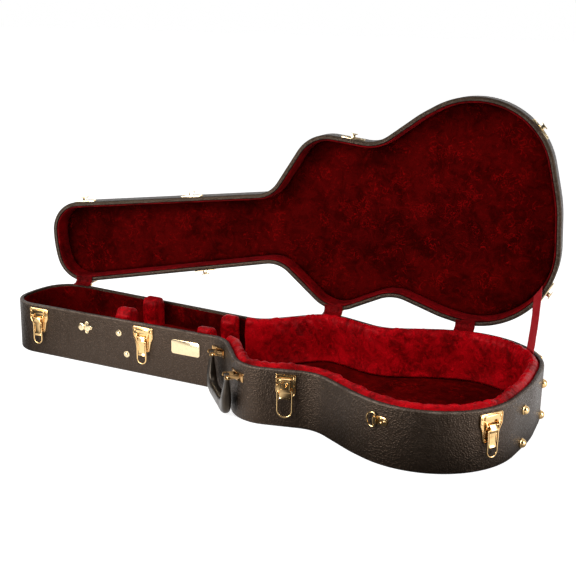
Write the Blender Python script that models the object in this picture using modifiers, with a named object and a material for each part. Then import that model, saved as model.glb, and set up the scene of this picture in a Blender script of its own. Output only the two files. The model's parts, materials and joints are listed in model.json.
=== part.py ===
"""Resonator guitar case, standing open on its flat bottom.

Metres, +Z up. X runs along the hinge line from the head end to the butt end, and -Y is the
front, where the handle and most latches are. Z is 0 on the face the case rests on.
"""

import math

import bmesh
import bpy
from mathutils import Matrix, Vector

# Driving dimensions
HALF_LENGTH = 0.540            # the head end lies at X = -HALF_LENGTH
SPINE_Y = 0.220                # where the head end of the plan touches the spine
BASE_HEIGHT = 0.1035           # floor to the base rim
LID_DEPTH = 0.050              # lid rim to the top of the lid
WALL = 0.008                   # side walls, covering included
PANEL = 0.006                  # bottom and top panels
GAP = 0.0003                   # between pieces that touch
OPEN_ANGLE = math.radians(91.9)
SLANT = math.radians(-8.95)    # the case's centre line against the hinge line
CENTRE_Y = 0.1428              # the centre line's Y at the head end

# Corners of half the plan: distance from the head end, half width, corner radius
HALF_PLAN = (
    (0.0000, 0.0000, 0.2350),
    (0.0117, 0.0893, 0.0650),
    (0.5179, 0.0708, 0.0550),
    (0.6160, 0.1850, 0.0737),
    (0.7472, 0.1481, 0.0671),
    (0.8355, 0.1953, 0.1900),
    (1.0548, 0.2820, 0.1535),
    (1.0800, 0.0000, 0.2950),
)
ARC_STEP = math.radians(10)

# Soft lining
LINING = 0.0035                # thin lining on neck and lid walls
NECK_LINING_DROP = 0.004       # its top edge below the rim
PADDING_WIDTH = 0.0225         # padded roll round the body
PUCKER = 0.0012                # height of the roll's puckers
PUCKERS = 23
PAD = 0.005                    # floor pad
BODY_LINING_X = 0.500          # where the roll takes over, X from the head end
LID_PAD = 0.005
FLOOR = PANEL + PAD + 2 * GAP  # where the lining stands on the floor pad

# Neck supports and the compartment between them, X from the head end on the centre line
CRADLE_X = (0.262, 0.297)
CRADLE_TOP = BASE_HEIGHT + 0.017
HEEL_X = (0.447, 0.483)
HEEL_TOP = BASE_HEIGHT + 0.007
NECK_SLOT = 0.058
SLOT_FLOOR = 0.0600
COMPARTMENT_LID_Z = 0.0550
COMPARTMENT_LID = 0.0050
FLAP_SIDE_GAP = 0.008

# Hinges, X from the head end
HINGE_XS = (0.0755, 0.6440, 0.9080)
HINGE_REACH = 0.0035           # spine to the hinge pins
HINGE_WIDTH = 0.036
HINGE_LEAF = 0.020
KNUCKLE_R = 0.0028
PIN_R = 0.0013

# Latches: side of the plan, X from the head end or Y for the butt end, and height of the plate
LATCH_TOP = 0.097
BUTT_LATCH_TOP = 0.102
LATCHES = (
    ("front", 0.076, LATCH_TOP),
    ("front", 0.3265, LATCH_TOP),
    ("front", 0.6660, LATCH_TOP),
    ("front", 1.0150, LATCH_TOP),
    ("butt", 0.1385, BUTT_LATCH_TOP),
    ("back", 0.3580, LATCH_TOP),
)
LOCKED_LATCH = 2
LOCK_Z = -0.0155
LEVER_AXIS = (-0.0046, -0.0200)       # Y and Z against the plate's top, on the wall
LOCK_LEVER_AXIS = (-0.0046, -0.0080)
BAIL_AXIS = (-0.0073, -0.0270)
LOCK_BAIL_AXIS = (-0.0073, -0.0285)
BAIL_WIRE = 0.0012

# Handle: ends of its pivot line in X from the head end and in Y
HANDLE_ENDS = ((0.4856, -0.0235), (0.5575, -0.1245))
HANDLE_Z = 0.0785
HANDLE_DROP = 0.0735
HANDLE_FACES = (-0.0095, 0.0080)      # outer and inner face of the grip against the pivot

# Badge, rivets, strap fittings and butt feet, X from the head end
BADGE_X, BADGE_Z = 0.4210, 0.0705
BADGE_SIZE = (0.062, 0.028)
RIVETS = ((0.2694, 0.0758), (0.2873, 0.0355))
RIVET_R = 0.0066
ROSETTE_X, STRAP_Z = 0.1940, 0.0757
LOOP_X = 0.8480
FEET = ((-0.070, 0.0720), (-0.070, 0.0138), (0.065, 0.0720), (0.065, 0.0138))
FOOT_R = 0.0085

HINGE = Vector((0, SPINE_Y + HINGE_REACH, BASE_HEIGHT))

PARTS = None
HELPERS = None
MATERIALS = {}


def clear_scene():
    for item in list(bpy.data.objects):
        bpy.data.objects.remove(item, do_unlink=True)
    for block in (bpy.data.meshes, bpy.data.curves, bpy.data.materials, bpy.data.collections):
        for item in list(block):
            block.remove(item)


def make_collections():
    global PARTS, HELPERS
    PARTS = bpy.data.collections.new("resonator_guitar_case")
    HELPERS = bpy.data.collections.new("cutters")
    for collection in (PARTS, HELPERS):
        bpy.context.scene.collection.children.link(collection)


def make_material(name, color, roughness, metallic=0.0):
    material = bpy.data.materials.new(name)
    material.use_nodes = True
    shader = material.node_tree.nodes["Principled BSDF"]
    shader.inputs["Base Color"].default_value = (*color, 1.0)
    shader.inputs["Roughness"].default_value = roughness
    shader.inputs["Metallic"].default_value = metallic
    material.diffuse_color = (*color, 1.0)
    MATERIALS[name] = material


def make_materials():
    make_material("vinyl", (0.030, 0.024, 0.020), 0.55)
    make_material("crimson_velvet", (0.42, 0.010, 0.022), 0.90)
    make_material("maroon_velvet", (0.11, 0.004, 0.006), 0.95)
    make_material("gold", (0.83, 0.62, 0.30), 0.28, 1.0)
    make_material("black_plastic", (0.012, 0.011, 0.010), 0.30)
    make_material("ribbon", (0.38, 0.012, 0.028), 0.60)


# Plan outline

def plan_corners():
    front = [Vector((s, -w)) for s, w, _ in HALF_PLAN]
    back = [Vector((s, w)) for s, w, _ in HALF_PLAN[-2:0:-1]]
    radii = [r for _, _, r in HALF_PLAN] + [r for _, _, r in HALF_PLAN[-2:0:-1]]
    return front + back, radii


def plan_outline():
    """Points and outward normals of the closed plan, anticlockwise from the head end."""
    corners, radii = plan_corners()
    turn = Matrix.Rotation(SLANT, 2)
    shift = Vector((-HALF_LENGTH, CENTRE_Y))
    outline = []
    for i, corner in enumerate(corners):
        before = (corner - corners[i - 1]).normalized()
        after = (corners[(i + 1) % len(corners)] - corner).normalized()
        angle = math.atan2(before.x * after.y - before.y * after.x, before.dot(after))
        start = corner - before * radii[i] * math.tan(abs(angle) / 2)
        side = math.copysign(1, angle)
        centre = start + side * radii[i] * Vector((-before.y, before.x))
        steps = max(1, math.ceil(abs(angle) / ARC_STEP))
        for k in range(steps + 1):
            heading = Matrix.Rotation(angle * k / steps, 2) @ before
            normal = Vector((heading.y, -heading.x))
            outline.append((turn @ (centre + side * radii[i] * normal) + shift, turn @ normal))
    return outline


OUTLINE = plan_outline()


def inset_points(inset, outline=None):
    return [p - n * inset for p, n in (outline or OUTLINE)]


def crossing(side, value):
    """Index and fraction where the outline passes X from the head end, or Y at the butt."""
    axis = 1 if side == "butt" else 0
    goal = value if side == "butt" else value - HALF_LENGTH
    for i, (p, n) in enumerate(OUTLINE):
        q, m = OUTLINE[(i + 1) % len(OUTLINE)]
        a, b = p[axis] - goal, q[axis] - goal
        if a * b > 0 or a == b:
            continue
        facing = n + m
        if side == "front" and facing.y > 0 or side == "back" and facing.y < 0:
            continue
        if side == "butt" and facing.x < 0:
            continue
        return i, a / (a - b)
    raise ValueError(f"no crossing at {side} {value}")


def wall_spot(side, value):
    """A point on the side wall and the angle of the wall there."""
    i, f = crossing(side, value)
    (p, n), (q, m) = OUTLINE[i], OUTLINE[(i + 1) % len(OUTLINE)]
    normal = n.lerp(m, f).normalized()
    return p.lerp(q, f), math.atan2(normal.x, -normal.y)


def wall_frame(side, value, z):
    """X along the wall, -Y out of it, Z up."""
    spot, angle = wall_spot(side, value)
    return Matrix.Translation((spot.x, spot.y, z)) @ Matrix.Rotation(angle, 4, "Z")


def outline_run(start, end, inset, step=1.0):
    """Points, normals and running length from one crossing to another, anticlockwise."""
    (i, f), (last, g) = start, end
    stops = [(i, f)]
    while i != last:
        i = (i + 1) % len(OUTLINE)
        stops.append((i, 0.0))
    stops.append((last, g))
    run = []
    length = 0.0
    for (i, f), (j, g) in zip(stops, stops[1:]):
        (p, n), (q, m) = OUTLINE[i], OUTLINE[(i + 1) % len(OUTLINE)]
        g = g if j == i else 1.0
        span = (q - p).length * (g - f)
        pieces = max(1, math.ceil(span / step))
        for k in range(pieces):
            t = f + (g - f) * k / pieces
            run.append((p.lerp(q, t) - n.lerp(m, t).normalized() * inset,
                        n.lerp(m, t).normalized(), length + span * k / pieces))
        length += span
    normal = n.lerp(m, g).normalized()
    run.append((p.lerp(q, g) - normal * inset, normal, length))
    return run


# Building blocks

def link(name, data, material, collection=None):
    item = bpy.data.objects.new(name, data)
    (collection or PARTS).objects.link(item)
    if material and not data.materials:
        data.materials.append(MATERIALS[material])
    return item


def mesh_object(name, bm, material, collection=None):
    mesh = bpy.data.meshes.new(name)
    bm.to_mesh(mesh)
    bm.free()
    return link(name, mesh, material, collection)


def smooth(item, degrees=35):
    item.data.shade_smooth()
    item.data.set_sharp_from_angle(angle=math.radians(degrees))
    return item


def strip(name, points, low, high, material, closed=True):
    """An upright open surface along points, facing out."""
    bm = bmesh.new()
    verts = [bm.verts.new((p.x, p.y, low)) for p in points]
    edges = [bm.edges.new(pair) for pair in zip(verts, verts[1:])]
    if closed:
        edges.append(bm.edges.new((verts[-1], verts[0])))
    grown = bmesh.ops.extrude_edge_only(bm, edges=edges)["geom"]
    top = [g for g in grown if isinstance(g, bmesh.types.BMVert)]
    bmesh.ops.translate(bm, verts=top, vec=(0, 0, high - low))
    bm.normal_update()
    along = points[1] - points[0]
    first = next(f for f in bm.faces if verts[0] in f.verts and verts[1] in f.verts)
    if first.normal.x * along.y - first.normal.y * along.x < 0:
        bmesh.ops.reverse_faces(bm, faces=bm.faces[:])
    return mesh_object(name, bm, material)


def curve_to_mesh(name, curve):
    """The curve's surface as a closed mesh, its caps welded on and their triangles merged."""
    item = bpy.data.objects.new(name, curve)
    HELPERS.objects.link(item)
    bpy.context.view_layer.update()
    scene = bpy.context.evaluated_depsgraph_get()
    mesh = bpy.data.meshes.new_from_object(item.evaluated_get(scene))
    bm = bmesh.new()
    bm.from_mesh(mesh)
    bmesh.ops.remove_doubles(bm, verts=bm.verts, dist=1e-6)
    bmesh.ops.dissolve_limit(bm, angle_limit=0.001, verts=bm.verts[:], edges=bm.edges[:])
    bmesh.ops.recalc_face_normals(bm, faces=bm.faces[:])
    bpy.data.objects.remove(item, do_unlink=True)
    return mesh_object(name, bm, None, HELPERS)


def slab(name, points, low, high, material, collection=None):
    """A flat panel with a plan outline."""
    curve = bpy.data.curves.new(name, "CURVE")
    curve.dimensions = "2D"
    curve.fill_mode = "BOTH"
    curve.extrude = (high - low) / 2
    spline = curve.splines.new("POLY")
    spline.use_cyclic_u = True
    spline.points.add(len(points) - 1)
    for point, (x, y) in zip(spline.points, points):
        point.co = (x, y, 0, 1)
    item = curve_to_mesh(name, curve)
    item.data.transform(Matrix.Translation((0, 0, (low + high) / 2)))
    if collection is None:
        HELPERS.objects.unlink(item)
        PARTS.objects.link(item)
    if material:
        item.data.materials.append(MATERIALS[material])
    return item


def upright_slab(name, points, front, back, material=None):
    """A panel with an outline in X and Z, and its thickness along Y."""
    item = slab(name, [(x, -z) for x, z in points], front, back, material, HELPERS)
    item.data.transform(Matrix.Rotation(math.radians(-90), 4, "X"))
    return item


def side_slab(name, points, half_width, material=None):
    """A solid with an outline in Y and Z, and its width along X."""
    item = slab(name, points, -half_width, half_width, material, HELPERS)
    turn = Matrix(((0, 0, 1, 0), (1, 0, 0, 0), (0, 1, 0, 0), (0, 0, 0, 1)))
    item.data.transform(turn)
    return item


def block(name, low, high, material=None):
    bm = bmesh.new()
    bmesh.ops.create_cube(bm, size=1.0)
    low, high = Vector(low), Vector(high)
    bmesh.ops.scale(bm, verts=bm.verts, vec=high - low)
    bmesh.ops.translate(bm, verts=bm.verts, vec=(high + low) / 2)
    return mesh_object(name, bm, material, HELPERS)


def rod(name, radius, start, end, segments=16, material=None, end_radius=None):
    """A round bar from start to end, tapered when end_radius is given."""
    start, end = Vector(start), Vector(end)
    bm = bmesh.new()
    bmesh.ops.create_cone(bm, cap_ends=True, segments=segments, radius1=radius,
                          radius2=end_radius or radius, depth=(end - start).length)
    turn = (end - start).to_track_quat("Z", "Y").to_matrix().to_4x4()
    bmesh.ops.transform(bm, verts=bm.verts,
                        matrix=Matrix.Translation((start + end) / 2) @ turn)
    return mesh_object(name, bm, material, HELPERS)


def dome(name, radius, height, outward, segments=16, material=None):
    """A turned button on the wall plane, bulging along -Y."""
    profile = [(0.0, height)]
    for k in range(1, 4):
        angle = math.radians(90 - 26 * k)
        profile.append((radius * math.cos(angle), height * math.sin(angle)))
    profile += [(radius, 0.0), (0.0, 0.0)]
    bm = bmesh.new()
    rows = [bm.verts.new((x, 0, z)) for x, z in profile]
    for pair in zip(rows, rows[1:]):
        bm.edges.new(pair)
    item = mesh_object(name, bm, material, HELPERS)
    turned = item.modifiers.new("turned", "SCREW")
    turned.steps = turned.render_steps = segments
    turned.use_merge_vertices = True
    turned.merge_threshold = 1e-5
    combine(item, [])
    outwards = Matrix.Rotation(math.radians(90), 4, "X")
    item.data.transform(Matrix.Translation((0, -outward, 0)) @ outwards)
    return item


def combine(item, tools, operation="UNION"):
    """Join tools to item, or cut item by them, and remove the tools."""
    for tool in tools:
        step = item.modifiers.new(operation.lower(), "BOOLEAN")
        step.operation = operation
        step.solver = "EXACT"
        step.object = tool
    bpy.context.view_layer.update()
    scene = bpy.context.evaluated_depsgraph_get()
    mesh = bpy.data.meshes.new_from_object(item.evaluated_get(scene))
    item.modifiers.clear()
    item.data = mesh
    for tool in tools:
        bpy.data.objects.remove(tool, do_unlink=True)
    return item


def finish(item, name, material, matrix=None, parent=None, rest=None):
    """Name a built piece and put it in its place."""
    for collection in list(item.users_collection):
        collection.objects.unlink(item)
    PARTS.objects.link(item)
    item.name = name
    item.data.name = name
    item.data.materials.clear()
    item.data.materials.append(MATERIALS[material])
    place(item, matrix or Matrix.Identity(4), parent, rest)
    return smooth(item)


def place(item, matrix, parent=None, rest=None):
    """World matrix of item, or its matrix while its parent still stands at rest."""
    item.parent = parent
    item.matrix_basis = (rest.inverted() @ matrix) if parent else matrix


def copy_of(source, name, matrix, parent=None, rest=None):
    item = bpy.data.objects.new(name, source.data)
    PARTS.objects.link(item)
    place(item, matrix, parent, rest)
    return item


def axis_empty(name, matrix, parent=None, rest=None):
    empty = bpy.data.objects.new(name, None)
    empty.empty_display_size = 0.02
    PARTS.objects.link(empty)
    place(empty, matrix, parent, rest)
    return empty


def bevel(item, width, segments=1, degrees=50):
    step = item.modifiers.new("rounding", "BEVEL")
    step.width = width
    step.segments = segments
    step.limit_method = "ANGLE"
    step.angle_limit = math.radians(degrees)
    return item


def solidify(item, thickness):
    """Thickness inwards from the surface."""
    step = item.modifiers.new("thickness", "SOLIDIFY")
    step.thickness = thickness
    step.offset = -1
    step.use_even_offset = True
    return item


def loft(name, rings, material):
    """A closed body through rings of points."""
    bm = bmesh.new()
    rows = [[bm.verts.new(p) for p in ring] for ring in rings]
    count = len(rows[0])
    for a, b in zip(rows, rows[1:]):
        for k in range(count):
            bm.faces.new((a[k], a[(k + 1) % count], b[(k + 1) % count], b[k]))
    bm.faces.new(rows[0])
    bm.faces.new(rows[-1])
    bmesh.ops.recalc_face_normals(bm, faces=bm.faces[:])
    return mesh_object(name, bm, material)


# Shells and lining

def make_base_shell():
    wall = strip("base_side_wall", inset_points(0), 0, BASE_HEIGHT, "vinyl")
    bevel(solidify(wall, WALL), 0.0018)
    panel = slab("base_bottom_panel", inset_points(WALL + GAP), 0, PANEL, "vinyl")
    smooth(wall)
    smooth(panel)


def padding_section(phase):
    """Depth into the case and height, of the roll's section."""
    lift = PUCKER * math.sin(phase)
    swell = 0.6 * PUCKER * math.sin(phase * 1.7 + 0.8)
    top = BASE_HEIGHT + 0.0050 + lift
    return (
        (GAP, FLOOR),
        (GAP, BASE_HEIGHT - 0.006),
        (0.0030, BASE_HEIGHT - 0.001),
        (0.0060, BASE_HEIGHT + 0.0028 + 0.5 * lift),
        (0.0115, top),
        (0.0172, top - 0.0015),
        (0.0215 + swell, BASE_HEIGHT - 0.003),
        (PADDING_WIDTH + swell, BASE_HEIGHT - 0.014),
        (PADDING_WIDTH - 0.0035, 0.050),
        (PADDING_WIDTH - 0.0020, FLOOR),
    )


def make_body_padding():
    run = outline_run(crossing("front", BODY_LINING_X), crossing("back", BODY_LINING_X),
                      WALL, 0.024)
    pucker = math.tau * PUCKERS / run[-1][2]
    rings = []
    for p, n, length in run:
        section = padding_section(pucker * length)
        rings.append([(p.x - n.x * d, p.y - n.y * d, z) for d, z in section])
    smooth(loft("base_body_padding", rings, "crimson_velvet"), 60)


def make_neck_lining():
    edge = BODY_LINING_X - 0.002
    run = outline_run(crossing("back", edge), crossing("front", edge), WALL + GAP)
    lining = strip("base_neck_lining", [stop[0] for stop in run], FLOOR,
                   BASE_HEIGHT - NECK_LINING_DROP, "maroon_velvet", closed=False)
    smooth(solidify(lining, LINING))


def make_floor_pad():
    pad = slab("base_floor_pad", inset_points(WALL + GAP), PANEL + GAP, FLOOR - GAP,
               "maroon_velvet")
    smooth(pad)


def neck_frame(x):
    """X along the neck's centre line and Y across it, at X from the head end on that line."""
    turn = Matrix.Rotation(SLANT, 4, "Z")
    return Matrix.Translation((-HALF_LENGTH, CENTRE_Y, 0)) @ turn @ Matrix.Translation((x, 0, 0))


def neck_block(name, x_range, top):
    """A block across the neck with a slot for it, its two posts rounded on top."""
    reach, shoulder, inner = 0.110, 0.064, NECK_SLOT / 2
    outline = [(-reach, FLOOR), (reach, FLOOR)]
    post = [(reach, top - 0.030), (shoulder, top - 0.013), (shoulder - 0.003, top - 0.005),
            (shoulder - 0.009, top - 0.0005), (inner + 0.013, top), (inner + 0.004, top - 0.004),
            (inner, top - 0.013), (inner, SLOT_FLOOR)]
    outline += post + [(-y, z) for y, z in reversed(post)]
    piece = side_slab(name, outline, (x_range[1] - x_range[0]) / 2)
    piece.data.transform(neck_frame(sum(x_range) / 2))
    room = slab("room", inset_points(WALL + LINING + 3 * GAP), 0, 0.2, None, HELPERS)
    combine(piece, [room], "INTERSECT")
    finish(piece, name, "crimson_velvet")
    return bevel(piece, 0.009, 3, 40)


def make_neck_supports():
    neck_block("neck_cradle", CRADLE_X, CRADLE_TOP)
    neck_block("heel_block", HEEL_X, HEEL_TOP)


def make_compartment_lid():
    """A flap between the neck supports, hinged at the cradle."""
    low_x, high_x = CRADLE_X[1] + 0.0012, HEEL_X[0] - 0.0012
    top = COMPARTMENT_LID_Z + COMPARTMENT_LID
    panel = block("flap", (0, -0.2, COMPARTMENT_LID_Z), (high_x - low_x, 0.2, top))
    panel.data.transform(neck_frame(low_x))
    room = slab("room", inset_points(WALL + LINING + FLAP_SIDE_GAP), 0, 0.2, None, HELPERS)
    combine(panel, [room], "INTERSECT")
    frame = neck_frame(low_x) @ Matrix.Translation((0, 0, top))
    axis = axis_empty("compartment_lid_axis", frame)
    finish(panel, "compartment_lid", "maroon_velvet", Matrix.Identity(4), axis, frame)
    bevel(panel, 0.0012)


def make_lid_axis():
    rest = Matrix.Translation(HINGE)
    empty = axis_empty("lid_hinge_axis", rest @ Matrix.Rotation(-OPEN_ANGLE, 4, "X"))
    return empty, rest


def make_lid_shell(lid):
    """The lid is laid out closed, and stands open by its hinge axis."""
    rim = BASE_HEIGHT + 2 * GAP
    top = BASE_HEIGHT + LID_DEPTH
    wall = strip("lid_side_wall", inset_points(0), rim, top, "vinyl")
    bevel(solidify(wall, WALL), 0.0018)
    panel = slab("lid_top_panel", inset_points(WALL + GAP), top - PANEL, top, "vinyl")
    under = top - PANEL - GAP
    lining = strip("lid_wall_lining", inset_points(WALL + GAP), rim + 0.001, under,
                   "crimson_velvet")
    solidify(lining, LINING)
    pad = slab("lid_pad", inset_points(WALL + LINING + 3 * GAP), under - LID_PAD, under,
               "maroon_velvet")
    bevel(pad, 0.0018)
    for piece in (wall, panel, lining, pad):
        place(piece, Matrix.Identity(4), *lid)
        smooth(piece)


# Hinges

def spine_reach(x):
    """From the hinge pin to the wall, for a leaf centred at X from the head end."""
    reach = max(p.y for p, _ in OUTLINE if abs(p.x + HALF_LENGTH - x) < HINGE_WIDTH)
    return HINGE.y - reach


def knuckle_profile(reach, neck):
    """Side view of a knuckle and the strip that joins it to the leaf."""
    low, high = -0.0024, -0.0006
    start = math.pi + math.asin(-low / KNUCKLE_R)
    end = 3 * math.pi + math.asin(-high / KNUCKLE_R)
    near, far = -reach + 0.0005, -reach + 0.0015
    profile = [(near, high), (near, neck - 0.001), (far, neck - 0.001), (far, low)]
    for k in range(13):
        angle = start + (end - start) * k / 12
        profile.append((KNUCKLE_R * math.cos(angle), KNUCKLE_R * math.sin(angle)))
    return profile


def hinge_leaf(name, reach, outer):
    """A leaf that hangs below the pin. Its knuckles are the outer two, or the middle one."""
    half = HINGE_WIDTH / 2
    near = HINGE_WIDTH / 6
    clear = 0.0003
    neck = -0.0034
    leaf = block(name, (-half, -reach + 0.0004, -HINGE_LEAF - 0.004),
                 (half, -reach + 0.0016, neck))
    outer_spans = ((-half + 0.0002, -near - clear), (near + clear, half - 0.0002))
    knuckles = []
    for a, b in outer_spans if outer else ((-near + clear, near - clear),):
        knuckle = side_slab("knuckle", knuckle_profile(reach, neck), (b - a) / 2)
        knuckle.data.transform(Matrix.Translation(((a + b) / 2, 0, 0)))
        knuckles.append(knuckle)
    combine(leaf, knuckles)
    if outer:
        combine(leaf, [rod("pin", PIN_R, (-half + 0.001, 0, 0), (half - 0.001, 0, 0), 10)])
    else:
        combine(leaf, [rod("bore", PIN_R + 0.00035, (-half, 0, 0), (half, 0, 0), 10)],
                "DIFFERENCE")
    return leaf


def make_hinges(lid):
    for number, x in enumerate(HINGE_XS, 1):
        spot = Matrix.Translation((x - HALF_LENGTH, HINGE.y, HINGE.z))
        reach = spine_reach(x)
        base_leaf = hinge_leaf("leaf", reach, True)
        finish(base_leaf, f"hinge_base_leaf_{number}", "gold", spot)
        lid_leaf = hinge_leaf("leaf", reach, False)
        lid_leaf.data.transform(Matrix.Scale(-1, 4, (0, 0, 1)))
        lid_leaf.data.flip_normals()
        finish(lid_leaf, f"hinge_lid_leaf_{number}", "gold", spot, *lid)


# Hinge covers and the stay, as they hang with the lid open

COVER_PATH = (
    (-0.0145, 0.0011), (-0.0068, 0.0011), (-0.0048, 0.0018), (-0.0034, 0.0034),
    (-0.0018, 0.0048), (-0.0004, 0.0066), (-0.0001, 0.0095), (-0.0001, 0.0165),
)


def make_hinge_covers():
    """Fabric strips over the rims, in front of the knuckles."""
    thick = 0.0007
    for number, x in enumerate(HINGE_XS, 1):
        drop = HINGE_REACH - spine_reach(x)
        path = [Vector((y + (drop if k < 3 else 0), z)) for k, (y, z) in enumerate(COVER_PATH)]
        path[0].y = path[1].y
        back = [p + Vector((-thick, thick)) for p in path[::-1]]
        strip_piece = side_slab("cover", path + back, 0.019)
        finish(strip_piece, f"hinge_cover_{number}", "crimson_velvet",
               Matrix.Translation((x - HALF_LENGTH, HINGE.y, HINGE.z)))


# Ends of the ribbon at its head and butt edges, X from the head end
STAY_LOW = ((1.0340, 0.1490, BASE_HEIGHT + 0.0034), (1.0455, 0.1290, BASE_HEIGHT + 0.0034))
STAY_HIGH = ((1.0318, 0.2290, 0.1820), (1.0439, 0.2290, 0.2033))
STAY_THICKNESS = 0.0008
STAY_STOPS = 6


def make_stay_ribbon():
    """Flat ribbon that turns a little on its way from the padding to the lid's lining."""
    shift = Vector((HALF_LENGTH, 0, 0))
    low, high = ([Vector(corner) - shift for corner in end] for end in (STAY_LOW, STAY_HIGH))
    rings = []
    for k in range(STAY_STOPS + 1):
        left, right = (low[i].lerp(high[i], k / STAY_STOPS) for i in (0, 1))
        run = (high[0] + high[1] - low[0] - low[1]).normalized()
        lift = (right - left).cross(run).normalized() * STAY_THICKNESS / 2
        rings.append([left - lift, right - lift, right + lift, left + lift])
    smooth(loft("stay_ribbon", rings, "ribbon"), 60)


# Latches

def latch_plate(name, lock):
    """Riveted plate with the ears and pin that carry the lever."""
    if lock:
        outline = [(-0.0175, 0), (0.0175, 0), (0.0175, -0.0310), (0.0150, -0.0375),
                   (-0.0150, -0.0375), (-0.0175, -0.0310)]
        ear, top, low, pin_y, pin_z = 0.0145, -0.003, -0.0135, *LOCK_LEVER_AXIS
    else:
        outline = [(-0.0225, -0.0015), (-0.021, 0), (0.021, 0), (0.0225, -0.0015),
                   (0.0225, -0.019), (0.0185, -0.027), (0.0145, -0.046), (0.0120, -0.0485),
                   (-0.0120, -0.0485), (-0.0145, -0.046), (-0.0185, -0.027),
                   (-0.0225, -0.019)]
        ear, top, low, pin_y, pin_z = 0.0114, -0.0135, -0.0265, *LEVER_AXIS
    plate = upright_slab(name, outline, -0.0016, -GAP)
    extra = []
    for side in (-1, 1):
        a, b = sorted((side * ear, side * (ear + 0.0014)))
        profile = [(-0.0012, top), (-0.0052, top + 0.0005), (-0.0066, pin_z + 0.002),
                   (-0.0066, pin_z - 0.002), (-0.0050, low), (-0.0012, low - 0.001)]
        flange = side_slab("ear", profile, (b - a) / 2)
        flange.data.transform(Matrix.Translation(((a + b) / 2, 0, 0)))
        extra.append(flange)
    reach = ear + 0.0008
    extra.append(rod("pin", 0.0012, (-reach, pin_y, pin_z), (reach, pin_y, pin_z), 10))
    if not lock:
        extra.append(block("boss", (-0.0130, -0.0044, -0.0118), (0.0130, -0.0010, -0.0026)))
    return combine(plate, extra)


def lever_blank(name):
    """Side profile of the lever, with bores for its pin and for the bail."""
    profile = [(-0.0028, -0.0180), (-0.0046, -0.0174), (-0.0064, -0.0182), (-0.0086, -0.0235),
               (-0.0097, -0.0266), (-0.0092, -0.0290), (-0.0076, -0.0310), (-0.0072, -0.0515),
               (-0.0086, -0.0548), (-0.0076, -0.0560), (-0.0058, -0.0530), (-0.0060, -0.0312),
               (-0.0047, -0.0286), (-0.0036, -0.0250), (-0.0026, -0.0212)]
    lever = side_slab(name, profile, 0.0072)
    return combine(lever, bores(LEVER_AXIS, BAIL_AXIS), "DIFFERENCE")


def lock_lever_blank(name):
    """The lever of the lockable latch: a box for the lock, with a tongue below it."""
    profile = [(-0.0024, -0.0092), (-0.0027, -0.0066), (-0.0046, -0.0054), (-0.0068, -0.0060),
               (-0.0088, -0.0072), (-0.0096, -0.0095), (-0.0096, -0.0262),
               (-0.0092, -0.0300), (-0.0080, -0.0318), (-0.0076, -0.0400), (-0.0086, -0.0424),
               (-0.0074, -0.0430), (-0.0060, -0.0405), (-0.0060, -0.0330), (-0.0048, -0.0315),
               (-0.0024, -0.0300)]
    lever = side_slab(name, profile, 0.0095)
    recess = rod("recess", 0.0044, (0, -0.0200, LOCK_Z), (0, -0.0048, LOCK_Z), 16)
    return combine(lever, bores(LOCK_LEVER_AXIS, LOCK_BAIL_AXIS) + [recess], "DIFFERENCE")


def bores(pin_axis, bail_axis):
    pin = rod("bore", 0.0016, (-0.03, *pin_axis), (0.03, *pin_axis), 10)
    wire = rod("bore", BAIL_WIRE + 0.00035, (-0.03, *bail_axis), (0.03, *bail_axis), 10)
    return [pin, wire]


def bail_mesh(name, axis, half_width, drop):
    """Wire loop that hangs from the lever, its ends turned in to the bore."""
    y, z = axis
    points = [(-0.0045, z), (-half_width + 0.0009, z), (-half_width, z - 0.0010)]
    centre = z - drop + half_width
    for k in range(9):
        angle = math.radians(180 + 22.5 * k)
        points.append((half_width * math.cos(angle), centre + half_width * math.sin(angle)))
    points += [(-x, z) for x, z in reversed(points[:3])]
    curve = bpy.data.curves.new(name, "CURVE")
    curve.dimensions = "3D"
    curve.bevel_depth = BAIL_WIRE
    curve.bevel_resolution = 2
    curve.use_fill_caps = True
    spline = curve.splines.new("POLY")
    spline.points.add(len(points) - 1)
    for point, (px, pz) in zip(spline.points, points):
        point.co = (px, y, pz, 1)
    return curve_to_mesh(name, curve)


def catch_mesh(name):
    """Plate on the lid with a ledge for the bail, and a lip outside it."""
    plate = upright_slab(name, [(-0.0225, 0.0110), (0.0225, 0.0110), (0.0225, 0.0220),
                                (0.0190, 0.0265), (-0.0190, 0.0265), (-0.0225, 0.0220)],
                         -0.0016, -GAP)
    ledge = block("ledge", (-0.0040, -0.0096, 0.0122), (0.0040, -0.0008, 0.0150))
    lip = block("lip", (-0.0075, -0.0104, 0.0122), (0.0075, -0.0088, 0.0215))
    return combine(plate, [ledge, lip])


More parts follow.
